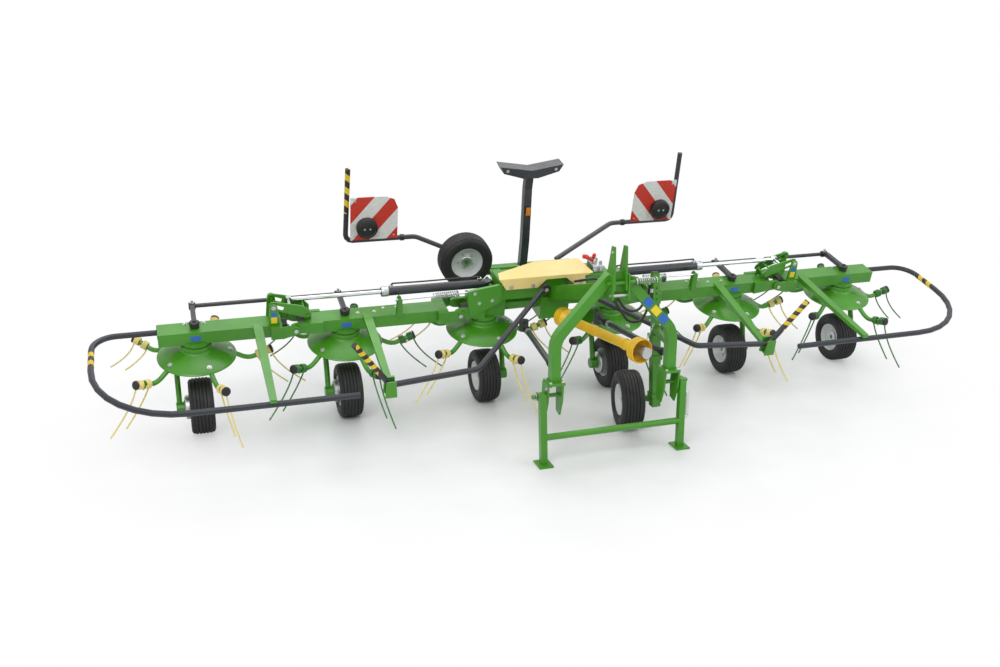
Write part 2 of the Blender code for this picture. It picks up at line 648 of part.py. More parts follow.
# ---- centre fittings -----------------------------------------------------------------------------
def add_cover(row):
    """Bent sheet over the centre box: top, front flange with a notch, and a sloped left end."""
    t = 0.004
    top = 0.478
    front, rear = -0.118, 0.118
    top_sheet = plate([(-0.460, front), (0.290, front), (0.260, rear), (-0.110, rear), (-0.440, -0.020)],
                      "z", top - t, top)
    flange = plate([(-0.460, top - 0.001), (-0.400, 0.385), (-0.150, 0.385), (-0.085, 0.450), (0.075, 0.450),
                    (0.150, 0.385), (0.240, 0.385), (0.225, 0.455), (0.290, top - 0.001)],
                   "y", front - t, front + 0.0005)
    back = block((-0.110, 0.260), (rear - 0.0005, rear + t), (0.400, top - 0.001))
    feet = [block((x - 0.012, x + 0.012), (-0.060, 0.020), (0.440 + GAP, top - 0.001)) for x in (-0.200, 0.0, 0.200)]
    node("top_cover", "cream", [top_sheet, flange, back, *feet], row)


def add_transport_rest(row):
    post = box_tube([(0, REST_F - 0.030, REAR_TOP + GAP), (0, REST_F - 0.030, 0.400), (0, REST_F + 0.020, 0.830),
                     (0, REST_F + 0.010, 0.960)], 0.062)
    head = plate([(-0.262, 1.048), (-0.230, 0.990), (-0.060, 0.940), (0.060, 0.940), (0.230, 0.990), (0.262, 1.048),
                  (0.0, 1.006)], "y", REST_F - 0.050, REST_F + 0.070)
    node("transport_rest", "dark", [post, head], row)


def add_light_frame(s, name, row):
    path = rounded([
        (s * 1.410, LIGHT_F, 0.990), (s * LIGHT_X, LIGHT_F, 0.375), (s * 0.860, LIGHT_F, 0.375),
        (s * 0.300, 0.665, REAR_TOP + 0.0235)], [0.055, 0.12])
    node("light_frame_" + name, "dark", [swept(path, 0.0205, 8)], row)
    x0, x1 = 1.020, 1.398
    corner = [(x0 + 0.10 * (1 - cos(a)), 0.765 - 0.10 * (1 - sin(a))) for a in (0, pi / 4, pi / 2)]
    outline = [(s * a, b) for a, b in [(x0, 0.400), *corner, (x1, 0.765), (x1, 0.400)]]
    board = plate(outline, "y", 0.830, 0.838)
    clips = [block(sorted((s * 1.375, s * 1.396)), (0.837, 0.8585), (h - 0.015, h + 0.015)) for h in (0.50, 0.70)]
    lamp = disc((s * 1.270, 0, 0.510), (0, 1, 0), 0.083, 0.790, 0.831, 18)
    node("warning_board_" + name, "white", [board, lamp, *clips], row)


def add_spare(row):
    x, f, h = SPARE_AT
    half = BIG_WHEEL_W / 2
    wheel = wheel_mesh(BIG_WHEEL_R, BIG_WHEEL_W, 1)
    wheel.transform(Matrix.Rotation(pi / 2, 4, "Z"))
    spare = node("spare_wheel", "rubber", [wheel], row)
    spare.location = SPARE_AT
    bodies = [
        block((x - 0.025, x + 0.090 - GAP), (f + half + 0.010, f + half + 0.022), (REAR_LOW, h + 0.030)),
        bar((x, f + half + 0.015, h), (x, f - 0.034, h), 0.015, 10),
    ]
    node("spare_carrier", "green", bodies, row)


# ---- front end, in world coordinates ---------------------------------------------------------------
def add_headstock():
    t = HEAD_TUBE
    arch = rounded([
        (-HEAD_X, HEAD_Y, 0.575), (-HEAD_X, HEAD_Y, 0.860), (-0.055, HEAD_Y, 1.255), (0.055, HEAD_Y, 1.255),
        (HEAD_X, HEAD_Y, 0.860), (HEAD_X, HEAD_Y, 0.575)], [0.16, 0.06, 0.06, 0.16])
    bodies = [box_tube(arch, t, (0, 1, 0))]
    for s in (-1, 1):
        x = s * HEAD_X
        # flange under each leg, with two link plates
        bodies.append(block((x - 0.055, x + 0.055), (HEAD_Y - 0.065, HEAD_Y + 0.065), (0.560, 0.578)))
        for a in (-0.052, 0.050):
            bodies.append(plate([(HEAD_Y - 0.050, 0.568), (HEAD_Y + 0.060, 0.568), (HEAD_Y + 0.075, 0.460),
                                 (HEAD_Y + 0.070, 0.340), (HEAD_Y + 0.010, 0.325), (HEAD_Y - 0.035, 0.440)],
                                "x", *sorted((x + s * a, x + s * (a + 0.012)))))
        # lower link pin, standing outward
        bodies.append(bar((x - s * 0.040, HEAD_Y + 0.020, LINK_Z), (x + s * 0.150, HEAD_Y + 0.020, LINK_Z), 0.014, 12))
        # top link prongs
        a = s * PRONG_X
        bodies.append(plate([(HEAD_Y - 0.085, 1.180), (HEAD_Y + 0.045, 1.180), (HEAD_Y + 0.030, 1.300),
                             (HEAD_Y - 0.025, 1.470), (HEAD_Y - 0.065, 1.470), (HEAD_Y - 0.075, 1.300)],
                            "x", a - 0.007, a + 0.007))
    bodies.append(bar((-0.085, HEAD_Y - 0.058, 1.228), (0.330, HEAD_Y - 0.058, 1.228), 0.0125, 12))
    bodies.append(block((-0.049, 0.049), (HEAD_Y - 0.036, HEAD_Y + 0.044 - GAP), (1.120, 1.300)))
    node("headstock", "green", bodies, None, (0, HEAD_Y, 1.0))


def add_struts():
    for s, name in ((-1, "left"), (1, "right")):
        top = Vector((s * 0.300, -0.330, 0.660))
        foot = Vector((s * HEAD_X, HEAD_Y + HEAD_TUBE / 2 + 0.001, 0.665))
        along = (foot - top).normalized()
        shapes = [bar(top, foot + Vector((0, 0.004, 0)), 0.022, 10), bar(top + Vector((0, 0, 0.045)), top -
                  Vector((0, 0, 0.040)), 0.036, 12)]
        node("strut_" + name, "dark", shapes, None, top)


def add_stand():
    bodies = []
    side = 0.045
    for s in (-1, 1):
        x = s * STAND_X
        top_x = s * STAND_TOP_X
        bodies += [
            box_tube([(top_x, STAND_Y + 0.020, 0.500), (x, STAND_Y, 0.010)], side, (0, 1, 0)),
            block((x - 0.050, x + 0.050), (STAND_Y - 0.065, STAND_Y + 0.065), (0.0, 0.012)),
            turned([(0.0155, -0.021), (0.031, -0.021), (0.031, 0.021), (0.0155, 0.021)],
                   (top_x, HEAD_Y + 0.020, LINK_Z), (1, 0, 0), 12),
        ]
    bodies.append(bar((-0.498, STAND_Y + 0.004, 0.196), (0.498, STAND_Y + 0.004, 0.196), 0.023, 10))
    node("parking_stand", "green", bodies, None, (0, STAND_Y, LINK_Z))


def post_at(z):
    """Centre of the leaning gauge post at a height."""
    share = (z - POST_FOOT[1]) / (POST_HEAD[1] - POST_FOOT[1])
    return Vector((POST_FOOT[0] + share * (POST_HEAD[0] - POST_FOOT[0]), POST_Y, z))


def add_gauge():
    post = box_tube([post_at(POST_FOOT[1]), post_at(POST_HEAD[1])], POST_SIDE, (0, 1, 0))
    sleeve = box_tube([post_at(POST_FOOT[1] + 0.002), post_at(SLEEVE_TOP)], SLEEVE_SIDE, (0, 1, 0))
    reach = SLEEVE_SIDE / 2 + 0.009
    collars = []
    for z in (SLEEVE_TOP, 0.545, 0.255):
        x = post_at(z).x
        collars.append(block((x - reach, x + reach), (POST_Y - reach, POST_Y + reach), (z - 0.016, z + 0.016)))
    outward = Vector((-cos(GAUGE_YAW), -sin(GAUGE_YAW), 0))
    hub = Vector((GAUGE_X, GAUGE_Y, BIG_WHEEL_R))
    root = hub - outward * 0.130
    arm = box_tube([post_at(0.215), root], 0.034)
    axle = bar(root - outward * 0.01, hub + outward * 0.030, AXLE_R, 12)
    brace = box_tube([post_at(0.900) + Vector((0, -0.010, 0)), (HEAD_X - 0.010, HEAD_Y + HEAD_TUBE / 2 + 0.006, 0.880)], 0.045)
    brace_low = box_tube([post_at(0.755) + Vector((0, -0.010, 0)), (HEAD_X - 0.002, HEAD_Y + HEAD_TUBE / 2 + 0.005, 0.755)], 0.04)
    node("gauge_post", "green", [post, sleeve, *collars, arm, axle, brace, brace_low], None, post_at(0.6))
    wheel = wheel_mesh(BIG_WHEEL_R, BIG_WHEEL_W, 1)
    wheel.transform(Matrix.Rotation(pi + GAUGE_YAW, 4, "Z"))
    gauge = node("gauge_wheel", "rubber", [wheel], None)
    gauge.location = hub


def add_hoses():
    """Two hoses clipped beside the tongue, hanging in a bight to their clips on the gauge post."""
    for name, low, aside, end_z in (("front", 0.830, 0.0, 1.060), ("rear", 0.900, 0.036, 1.110)):
        edge = post_at(end_z).x - POST_SIDE / 2 - HOSE_R - 0.001
        lift = low - 0.830
        route = [
            (HOSE_X, -0.420, 0.925 + lift), (HOSE_X, -0.850 + aside, 1.048 + lift),
            (HOSE_X + 0.050, -0.990 + aside, 1.020 + lift), (0.220, -1.030 + aside, low + 0.020),
            (0.325, -1.025 + aside, low), (edge, POST_Y - 0.016 + aside * 0.8, low + 0.130),
            (edge, POST_Y - 0.016 + aside * 0.8, end_z)]
        path = rounded(route, [0.16, 0.08, 0.08, 0.08, 0.08])
        node("hydraulic_hose_" + name, "rubber", [swept(path, HOSE_R, 6)], None)


def add_pto():
    tail, nose = Vector(PTO_TAIL), Vector(PTO_NOSE)
    along = (nose - tail).normalized()
    length = (nose - tail).length
    guard = turned([
        (0.026, 0.005), (0.026, length - 0.110), (0.030, length - 0.105), (BELL_R - 0.006, length - 0.060),
        (BELL_R - 0.006, length), (BELL_R, length), (BELL_R, length - 0.065), (PTO_R, length - 0.118), (PTO_R, 0.120),
        (0.075, 0.080), (0.075, 0.005)], tail, along, 20)
    node("pto_guard", "yellow", [guard], None, tail)
    yoke = [
        bar(tail + along * 0.010, tail + along * (length - 0.030), 0.020, 12),
        bar(tail + along * (length - 0.045), tail + along * (length + 0.055), 0.040, 12),
    ]
    node("pto_shaft", "yellow", yoke, None, tail)


# ---- the machine -----------------------------------------------------------------------------------
def build():
    for obj in list(bpy.data.objects):
        bpy.data.objects.remove(obj, do_unlink=True)
    row = bpy.data.objects.new("row_frame", None)
    bpy.context.scene.collection.objects.link(row)
    row.location = (0, 0, RIM_HEIGHT)
    row.rotation_euler = (TILT, 0, 0)
    PLACE[row.name] = Vector()
    shared = {"rotor": rotor_mesh()}
    for side in (-1, 1):
        shared["wheel", side] = wheel_mesh(WHEEL_R, WHEEL_W, side)
    add_centre(row)
    add_cover(row)
    add_transport_rest(row)
    add_spare(row)
    for index in (3, 4):
        add_rotor(index, row, shared)
    for s, name in ((-1, "left"), (1, "right")):
        mid = axis_empty("fold_axis_" + name, (s * HINGE_1_X, 0, HINGE_H), row)
        outer = axis_empty("outer_axis_" + name, (s * HINGE_2_X, 0, HINGE_H), mid)
        add_mid_beam(s, name, mid)
        add_rotor(2 if s < 0 else 5, mid, shared)
        add_outer_beam(s, name, outer)
        add_outer_guard(s, name, outer)
        add_rotor(1 if s < 0 else 6, outer, shared)
        add_inner_guard(s, name, axis_empty("guard_axis_" + name, (s * CLEVIS_PIN[0], CLEVIS_F, CLEVIS_PIN[1]), row))
        add_cylinder(s, name, axis_empty("cylinder_axis_" + name, (s * CYL_BASE_X, CYL_F, CYL_H), row))
        add_fold_lever(s, name, axis_empty("lever_axis_" + name, (s * LEVER_PIN[0], 0, LEVER_PIN[1]), mid))
        spring = (s * (SPRING_BASE[0] - 0.01), SPRING_F, SPRING_BASE[1])
        add_spring_rod(s, name, axis_empty("spring_axis_" + name, spring, row))
        add_steer_rods(s, name, mid, outer)
        add_light_frame(s, name, row)
    add_headstock()
    add_struts()
    add_stand()
    add_gauge()
    add_hoses()
    add_pto()


build()
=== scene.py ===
"""Looks for the hay tedder: materials, rotors with wound tines, ribbed tyres and the small fittings."""
from math import cos, pi, radians, sin

import bmesh
import bpy
from mathutils import Matrix, Vector


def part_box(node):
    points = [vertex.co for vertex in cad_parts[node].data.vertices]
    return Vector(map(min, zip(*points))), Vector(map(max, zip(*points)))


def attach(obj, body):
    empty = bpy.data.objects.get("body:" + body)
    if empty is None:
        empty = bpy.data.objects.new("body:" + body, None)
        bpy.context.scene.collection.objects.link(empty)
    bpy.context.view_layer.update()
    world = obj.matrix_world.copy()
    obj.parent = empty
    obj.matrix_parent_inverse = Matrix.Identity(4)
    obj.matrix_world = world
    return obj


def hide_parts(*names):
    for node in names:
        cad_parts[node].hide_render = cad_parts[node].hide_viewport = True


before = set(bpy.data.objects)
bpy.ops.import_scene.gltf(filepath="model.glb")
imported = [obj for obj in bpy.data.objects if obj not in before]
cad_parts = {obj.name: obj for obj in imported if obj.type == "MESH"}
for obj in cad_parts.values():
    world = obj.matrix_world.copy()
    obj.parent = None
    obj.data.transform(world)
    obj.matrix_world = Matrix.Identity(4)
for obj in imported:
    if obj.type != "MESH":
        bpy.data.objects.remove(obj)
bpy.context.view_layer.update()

# ---- the row of rotors leans forward: (x, f, h) is its own frame ---------------------------------
TILT = radians(14.25)
RIM_HEIGHT = 0.568
ROW = Matrix.Translation((0, 0, RIM_HEIGHT)) @ Matrix.Rotation(TILT, 4, "X")
ROTOR_PITCH = 1.06
WHEEL_Y = -0.060
WHEEL_R = 0.203
WHEEL_W = 0.170
BIG_WHEEL_R = 0.215
BIG_WHEEL_W = 0.165
HEAD_Y = -1.300
HEAD_X = 0.420
STAND_TOP_X = 0.512
PTO_TAIL = Vector((0.0, -0.330, 0.705))
PTO_NOSE = Vector((0.217, -1.290, 0.713))
# places on the row, in its own frame
HINGE_X = (0.745, 1.961)         # the two fold hinges
LUG_FACE = 0.1345                # f of the hinge lugs' outer faces
BEAM_TOP = 0.230                 # h of the beams' top
BEAM_SIDE = -0.0752              # f of the stickers' back, on the beams' front
SHAFT_H = 0.186                  # the drive shaft inside the beams
CYLINDER_F, CYLINDER_H = 0.050, 0.362
SPRING_F = -0.066                # the spring rods
EAR_SIDE = -0.0742
STEER_F, STEER_H = 0.292, 0.235  # the steering rods
LAMP = (1.270, 0.7855, 0.510)

# the leaning gauge post, (x, z) of its ends
POST_FOOT = (0.490, 0.165)
POST_HEAD = (0.445, 1.168)
POST_Y = -0.970
SLEEVE_SIDE = 0.0402             # half the sleeve's width, at its bolts
STAND_SPRING_Y = -1.335
LINK_PIN_Z = 0.470


def rotor_x(index):
    return (index - 3.5) * ROTOR_PITCH


# ---- camera, light and floor ---------------------------------------------------------------------
scene = bpy.context.scene
scene.view_settings.view_transform = "Standard"

camera = bpy.data.objects.new("camera", bpy.data.cameras.new("camera"))
scene.collection.objects.link(camera)
camera.data.sensor_width = 36.0
camera.data.lens = 37.84
camera.location = (-2.758, -7.4125, 3.0015)
camera.rotation_euler = (radians(90 - 17.78), 0, radians(-17.78))
scene.camera = camera


def area_light(name, place, target, size, power):
    data = bpy.data.lights.new(name, "AREA")
    data.shape = "SQUARE"
    data.size = size
    data.energy = power
    lamp = bpy.data.objects.new(name, data)
    scene.collection.objects.link(lamp)
    lamp.location = place
    lamp.rotation_euler = (Vector(target) - Vector(place)).to_track_quat("-Z", "Y").to_euler()


area_light("key_light", (-4.5, -6.0, 6.5), (0, 0, 0.5), 5.0, 330)
area_light("fill_light", (6.0, -4.5, 4.5), (0, 0, 0.5), 5.0, 165)
area_light("top_light", (0.0, 1.5, 7.0), (0, 0, 0.4), 7.0, 280)

world = bpy.data.worlds.new("studio")
scene.world = world
world.use_nodes = True
world_nodes = world.node_tree.nodes
world_links = world.node_tree.links
light_path = world_nodes.new("ShaderNodeLightPath")
backdrop = world_nodes.new("ShaderNodeBackground")
backdrop.inputs["Strength"].default_value = 1.0
backdrop.inputs["Color"].default_value = (1.0, 1.0, 1.0, 1.0)
studio = world_nodes["Background"]
studio.inputs["Color"].default_value = (0.93, 0.96, 1.0, 1.0)
studio.inputs["Strength"].default_value = 0.42
seen = world_nodes.new("ShaderNodeMath")
seen.operation = "MAXIMUM"
world_links.new(light_path.outputs["Is Camera Ray"], seen.inputs[0])
world_links.new(light_path.outputs["Is Glossy Ray"], seen.inputs[1])
blend_world = world_nodes.new("ShaderNodeMixShader")
world_links.new(seen.outputs[0], blend_world.inputs[0])
world_links.new(studio.outputs[0], blend_world.inputs[1])
world_links.new(backdrop.outputs[0], blend_world.inputs[2])
world_links.new(blend_world.outputs[0], world_nodes["World Output"].inputs["Surface"])


# ---- materials -----------------------------------------------------------------------------------
def new_material(name):
    material = bpy.data.materials.new(name)
    material.use_nodes = True
    tree = material.node_tree
    return material, tree.nodes, tree.links, tree.nodes["Principled BSDF"]


def noise(nodes, links, coords, scale, detail=4.0, roughness=0.55):
    texture = nodes.new("ShaderNodeTexNoise")
    texture.inputs["Scale"].default_value = scale
    texture.inputs["Detail"].default_value = detail
    texture.inputs["Roughness"].default_value = roughness
    links.new(coords, texture.inputs["Vector"])
    return texture.outputs["Fac"]


def ramp(nodes, links, factor, stops):
    node = nodes.new("ShaderNodeValToRGB")
    while len(node.color_ramp.elements) < len(stops):
        node.color_ramp.elements.new(0.5)
    for element, (place, colour) in zip(node.color_ramp.elements, stops):
        element.position = place
        element.color = (*colour, 1.0)
    links.new(factor, node.inputs["Fac"])
    return node.outputs["Color"]


def grey(value):
    return (value, value, value)


def bump(nodes, links, shader, height, strength, distance):
    node = nodes.new("ShaderNodeBump")
    node.inputs["Strength"].default_value = strength
    node.inputs["Distance"].default_value = distance
    links.new(height, node.inputs["Height"])
    links.new(node.outputs["Normal"], shader.inputs["Normal"])


def finish_of(name, colour, low, high, metallic=0.0, coat=0.0, peel=0.06, peel_scale=220.0, vary=0.10,
              dust=0.10):
    """Paint, plastic or metal: drifting colour, patchy gloss, settled dust, fine surface texture."""
    material, nodes, links, shader = new_material(name)
    coords = nodes.new("ShaderNodeTexCoord").outputs["Object"]
    dark = tuple(c * (1 - vary) for c in colour)
    light = tuple(min(1.0, c * (1 + vary)) for c in colour)
    drift = ramp(nodes, links, noise(nodes, links, coords, 3.1), [(0.35, dark), (0.65, light)])
    geometry = nodes.new("ShaderNodeNewGeometry")
    split = nodes.new("ShaderNodeSeparateXYZ")
    links.new(geometry.outputs["Normal"], split.inputs[0])
    facing = nodes.new("ShaderNodeMapRange")
    facing.inputs["From Min"].default_value = 0.55
    facing.inputs["To Max"].default_value = dust
    links.new(split.outputs["Z"], facing.inputs["Value"])
    patches = nodes.new("ShaderNodeMath")
    patches.operation = "MULTIPLY"
    links.new(facing.outputs["Result"], patches.inputs[0])
    links.new(noise(nodes, links, coords, 14.0, 6.0), patches.inputs[1])
    dusty = nodes.new("ShaderNodeMix")
    dusty.data_type = "RGBA"
    links.new(patches.outputs[0], dusty.inputs["Factor"])
    links.new(drift, dusty.inputs["A"])
    dusty.inputs["B"].default_value = (0.62, 0.57, 0.47, 1.0)
    links.new(dusty.outputs["Result"], shader.inputs["Base Color"])
    gloss = ramp(nodes, links, noise(nodes, links, coords, 9.0, 5.0),
                 [(0.3, grey(low)), (0.7, grey(high))])
    links.new(gloss, shader.inputs["Roughness"])
    shader.inputs["Metallic"].default_value = metallic
    shader.inputs["Coat Weight"].default_value = coat
    shader.inputs["Coat Roughness"].default_value = 0.12
    bump(nodes, links, shader, noise(nodes, links, coords, peel_scale, 2.0), peel, 0.0006)
    return material


def banded(name, first, second, direction, period, roughness=0.4, offset=0.0, base=None, limit=None):
    """Two colours in straight bands across direction; past limit = (axis, low, high) it stays base."""
    material, nodes, links, shader = new_material(name)
    coords = nodes.new("ShaderNodeTexCoord").outputs["Object"]
    along = nodes.new("ShaderNodeVectorMath")
    along.operation = "DOT_PRODUCT"
    links.new(coords, along.inputs[0])
    along.inputs[1].default_value = Vector(direction).normalized() / period
    shift = nodes.new("ShaderNodeMath")
    shift.operation = "ADD"
    shift.inputs[1].default_value = offset + 100.0
    links.new(along.outputs["Value"], shift.inputs[0])
    share = nodes.new("ShaderNodeMath")
    share.operation = "FRACT"
    links.new(shift.outputs[0], share.inputs[0])
    step = nodes.new("ShaderNodeMath")
    step.operation = "GREATER_THAN"
    step.inputs[1].default_value = 0.5
    links.new(share.outputs[0], step.inputs[0])
    grime = noise(nodes, links, coords, 40.0, 5.0)
    tones = []
    for colour in (first, second):
        dark = tuple(c * 0.86 for c in colour)
        tones.append(ramp(nodes, links, grime, [(0.3, dark), (0.7, colour)]))
    mix = nodes.new("ShaderNodeMix")
    mix.data_type = "RGBA"
    links.new(step.outputs[0], mix.inputs["Factor"])
    links.new(tones[0], mix.inputs["A"])
    links.new(tones[1], mix.inputs["B"])
    result = mix.outputs["Result"]
    if limit:
        axis, lowest, highest = limit
        place = nodes.new("ShaderNodeVectorMath")
        place.operation = "DOT_PRODUCT"
        links.new(coords, place.inputs[0])
        place.inputs[1].default_value = axis
        inside = []
        for operation, edge in (("GREATER_THAN", lowest), ("LESS_THAN", highest)):
            node = nodes.new("ShaderNodeMath")
            node.operation = operation
            node.inputs[1].default_value = edge
            links.new(place.outputs["Value"], node.inputs[0])
            inside.append(node.outputs[0])
        both = nodes.new("ShaderNodeMath")
        both.operation = "MULTIPLY"
        links.new(inside[0], both.inputs[0])
        links.new(inside[1], both.inputs[1])
        keep = nodes.new("ShaderNodeMix")
        keep.data_type = "RGBA"
        links.new(both.outputs[0], keep.inputs["Factor"])
        links.new(ramp(nodes, links, grime, [(0.3, tuple(c * 0.8 for c in base)), (0.7, base)]),
                  keep.inputs["A"])
        links.new(result, keep.inputs["B"])
        result = keep.outputs["Result"]
    links.new(result, shader.inputs["Base Color"])
    shader.inputs["Roughness"].default_value = roughness
    bump(nodes, links, shader, noise(nodes, links, coords, 260.0, 2.0), 0.08, 0.0006)
    return material


GREEN = (0.050, 0.255, 0.006)
ANTHRACITE = (0.022, 0.026, 0.034)
AMBER = (0.84, 0.50, 0.012)
green = finish_of("green_paint", GREEN, 0.28, 0.44, coat=0.15, dust=0.02)
dark = finish_of("anthracite_paint", ANTHRACITE, 0.30, 0.50, coat=0.2, vary=0.2)
rubber = finish_of("tyre_rubber", (0.010, 0.010, 0.011), 0.55, 0.80, peel=0.35, peel_scale=420.0,
                   vary=0.3, dust=0.06)
soft_black = finish_of("black_plastic", (0.010, 0.010, 0.011), 0.38, 0.60, peel=0.2, vary=0.3)
yellow_wire = finish_of("yellow_tine_paint", (0.80, 0.65, 0.22), 0.28, 0.45, vary=0.12)
green_wire = finish_of("green_tine_paint", (0.035, 0.17, 0.025), 0.28, 0.45, vary=0.12)
amber = finish_of("amber_plastic", AMBER, 0.28, 0.45, peel=0.15, vary=0.08)
cream = finish_of("cream_paint", (0.86, 0.66, 0.25), 0.30, 0.46, vary=0.06)
zinc = finish_of("zinc_plate", (0.52, 0.53, 0.54), 0.28, 0.48, metallic=1.0, vary=0.12, dust=0.05)
chrome = finish_of("hard_chrome", (0.72, 0.73, 0.75), 0.06, 0.14, metallic=1.0, peel=0.02, vary=0.04,
                   dust=0.0)
rim_grey = finish_of("rim_paint", (0.58, 0.59, 0.60), 0.30, 0.45, coat=0.2, vary=0.06)
red = finish_of("red_plastic", (0.62, 0.03, 0.015), 0.3, 0.45)
blue_plate = finish_of("blue_plate", (0.02, 0.13, 0.48), 0.3, 0.42, vary=0.05)
yellow_plate = finish_of("yellow_plate", (0.86, 0.62, 0.02), 0.3, 0.42, vary=0.05)
lens = finish_of("lamp_lens", (0.03, 0.012, 0.010), 0.10, 0.18, coat=1.0)
amber_lens = finish_of("amber_reflector", (0.75, 0.22, 0.01), 0.12, 0.2, coat=1.0)
BLACK_BAND = (0.018, 0.018, 0.018)
YELLOW_BAND = (0.82, 0.56, 0.015)
boards = {}
for side, lean in (("left", -1), ("right", 1)):
    boards[side] = banded("warning_stripes_" + side, (0.78, 0.76, 0.74), (0.62, 0.035, 0.02),
                          (lean * 0.75, 0, 0.66), 0.205, offset=0.2)
ROW_F = (0, cos(TILT), sin(TILT))
ROW_H = (0, -sin(TILT), cos(TILT))
outer_tube = banded("outer_guard_tape", BLACK_BAND, YELLOW_BAND, (0, 1, -0.35), 0.085, base=ANTHRACITE,
                    limit=(ROW_F, -0.185, 0.030))
inner_tube = {}
for side, s in (("left", -1), ("right", 1)):
    inner_tube[side] = banded("inner_guard_tape_" + side, BLACK_BAND, YELLOW_BAND, (s * 0.35, 0, 1.0),
                              0.062,
                              base=ANTHRACITE, limit=((s, 0, 0), 1.530, 1.680))
light_tube = banded("light_frame_tape", BLACK_BAND, YELLOW_BAND, (0.75, 0, 1.0), 0.085,
                    base=ANTHRACITE, limit=(ROW_H, 0.62 + RIM_HEIGHT * cos(TILT), 9.0))


# wheel legs: green below the beam's top, dark for the steering lever above it
leg_paint = banded("leg_and_lever", ANTHRACITE, ANTHRACITE, (0, 0, 1), 1.0, roughness=0.33, base=GREEN,
                   limit=(ROW_H, 0.2325 + RIM_HEIGHT * cos(TILT), 9.0))


# ---- shapes --------------------------------------------------------------------------------------
class Piece:
    """One visible object, built from shapes that may each have their own material."""

    def __init__(self, name, place=None):
        self.name = name
        self.place = place or Matrix.Identity(4)
        self.bm = bmesh.new()
        self.materials = []

    def slot_of(self, material):
        if material not in self.materials:
            self.materials.append(material)
        return self.materials.index(material)

    def rings(self, rings, material, closed=False, caps=True):
        rows = [[self.bm.verts.new(self.place @ Vector(point)) for point in ring] for ring in rings]
        pairs = list(zip(rows, rows[1:]))
        if closed:
            pairs.append((rows[-1], rows[0]))
        count = len(rows[0])
        faces = []
        for lower, upper in pairs:
            for i in range(count):
                j = (i + 1) % count
                faces.append(self.bm.faces.new((lower[i], lower[j], upper[j], upper[i])))
        if caps and not closed:
            faces.append(self.bm.faces.new(rows[0]))
            faces.append(self.bm.faces.new(rows[-1]))
        index = self.slot_of(material)
        for face in faces:
            face.material_index = index
        return faces

    def tube(self, points, radius, material, sides=12, closed=False):
        """A round bar along a path; radius is one number or one for each point."""
        points = [Vector(p) for p in points]
        count = len(points)
        radii = radius if isinstance(radius, (list, tuple)) else [radius] * count
        tangents = []
        for i in range(count):
            if closed:
                step = points[(i + 1) % count] - points[i - 1]
            else:
                step = points[min(i + 1, count - 1)] - points[max(i - 1, 0)]
            tangents.append(step.normalized())
        across = tangents[0].cross(Vector((0, 0, 1)))
        if across.length < 0.05:
            across = tangents[0].cross(Vector((1, 0, 0)))
        across.normalize()
        rings = []
        for point, tangent, r in zip(points, tangents, radii):
            across = (across - tangent * across.dot(tangent)).normalized()
            rise = tangent.cross(across)
            rings.append([point + r * (across * cos(a) + rise * sin(a))
                          for a in (2 * pi * k / sides for k in range(sides))])
        self.rings(rings, material, closed=closed)

    def turned(self, profile, centre, axis, material, sides=48):
        """A (radius, along) profile turned round an axis; the profile is a closed loop."""
        axis = Vector(axis).normalized()
        side = axis.cross(Vector((0, 0, 1)) if abs(axis.z) < 0.9 else Vector((1, 0, 0))).normalized()
        up = side.cross(axis)
        rings = []
        for i in range(sides):
            spoke = side * cos(2 * pi * i / sides) + up * sin(2 * pi * i / sides)
            rings.append([Vector(centre) + spoke * r + axis * t for r, t in profile])
        self.rings(rings, material, closed=True)

    def box(self, x, y, z, material, soften=0.0):
        lows = (x[0], y[0], z[0])
        highs = (x[1], y[1], z[1])
        rings = []
        levels = [(z[0], soften), (z[0] + soften, 0.0), (z[1] - soften, 0.0),
                  (z[1], soften)] if soften else [
            (z[0], 0.0), (z[1], 0.0)]
        for level, inset in levels:
            x0, x1, y0, y1 = lows[0] + inset, highs[0] - inset, lows[1] + inset, highs[1] - inset
            rings.append([(x0, y0, level), (x1, y0, level), (x1, y1, level), (x0, y1, level)])
        self.rings(rings, material)

    def bolt(self, centre, axis, radius, height, material, washer=True):
        """Hexagon head on a washer, standing on the surface at centre."""
        centre, axis = Vector(centre), Vector(axis).normalized()
        if washer:
            self.turned([(0.0005, -0.001), (radius * 1.45, -0.001), (radius * 1.45, 0.0016),
                         (0.0005, 0.0016)],
                        centre, axis, material, 16)
        side = axis.cross(Vector((0, 0, 1)) if abs(axis.z) < 0.9 else Vector((1, 0, 0))).normalized()
        up = side.cross(axis)
        rings = []
        for t, r in ((0.001, 1.0), (height * 0.85, 1.0), (height, 0.86)):
            rings.append([centre + axis * t + radius * r * (side * cos(a) + up * sin(a))
                          for a in (pi * k / 3 for k in range(6))])
        self.rings(rings, material)

    def done(self, body, replaces=(), angle=38):
        bmesh.ops.recalc_face_normals(self.bm, faces=self.bm.faces)
        mesh = bpy.data.meshes.new(self.name)
        self.bm.to_mesh(mesh)
        self.bm.free()
        for material in self.materials:
            mesh.materials.append(material)
        mesh.shade_smooth()
        mesh.set_sharp_from_angle(angle=radians(angle))
        obj = bpy.data.objects.new(self.name, mesh)
        scene.collection.objects.link(obj)
        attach(obj, body)
        if replaces:
            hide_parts(*replaces)
        return obj


def curve(start, knee, tip, steps):
    """Points that leave start towards knee and arrive at tip."""
    shares = [i / steps for i in range(steps + 1)]
    return [start * (1 - t) ** 2 + knee * (2 * t * (1 - t)) + tip * t * t for t in shares]


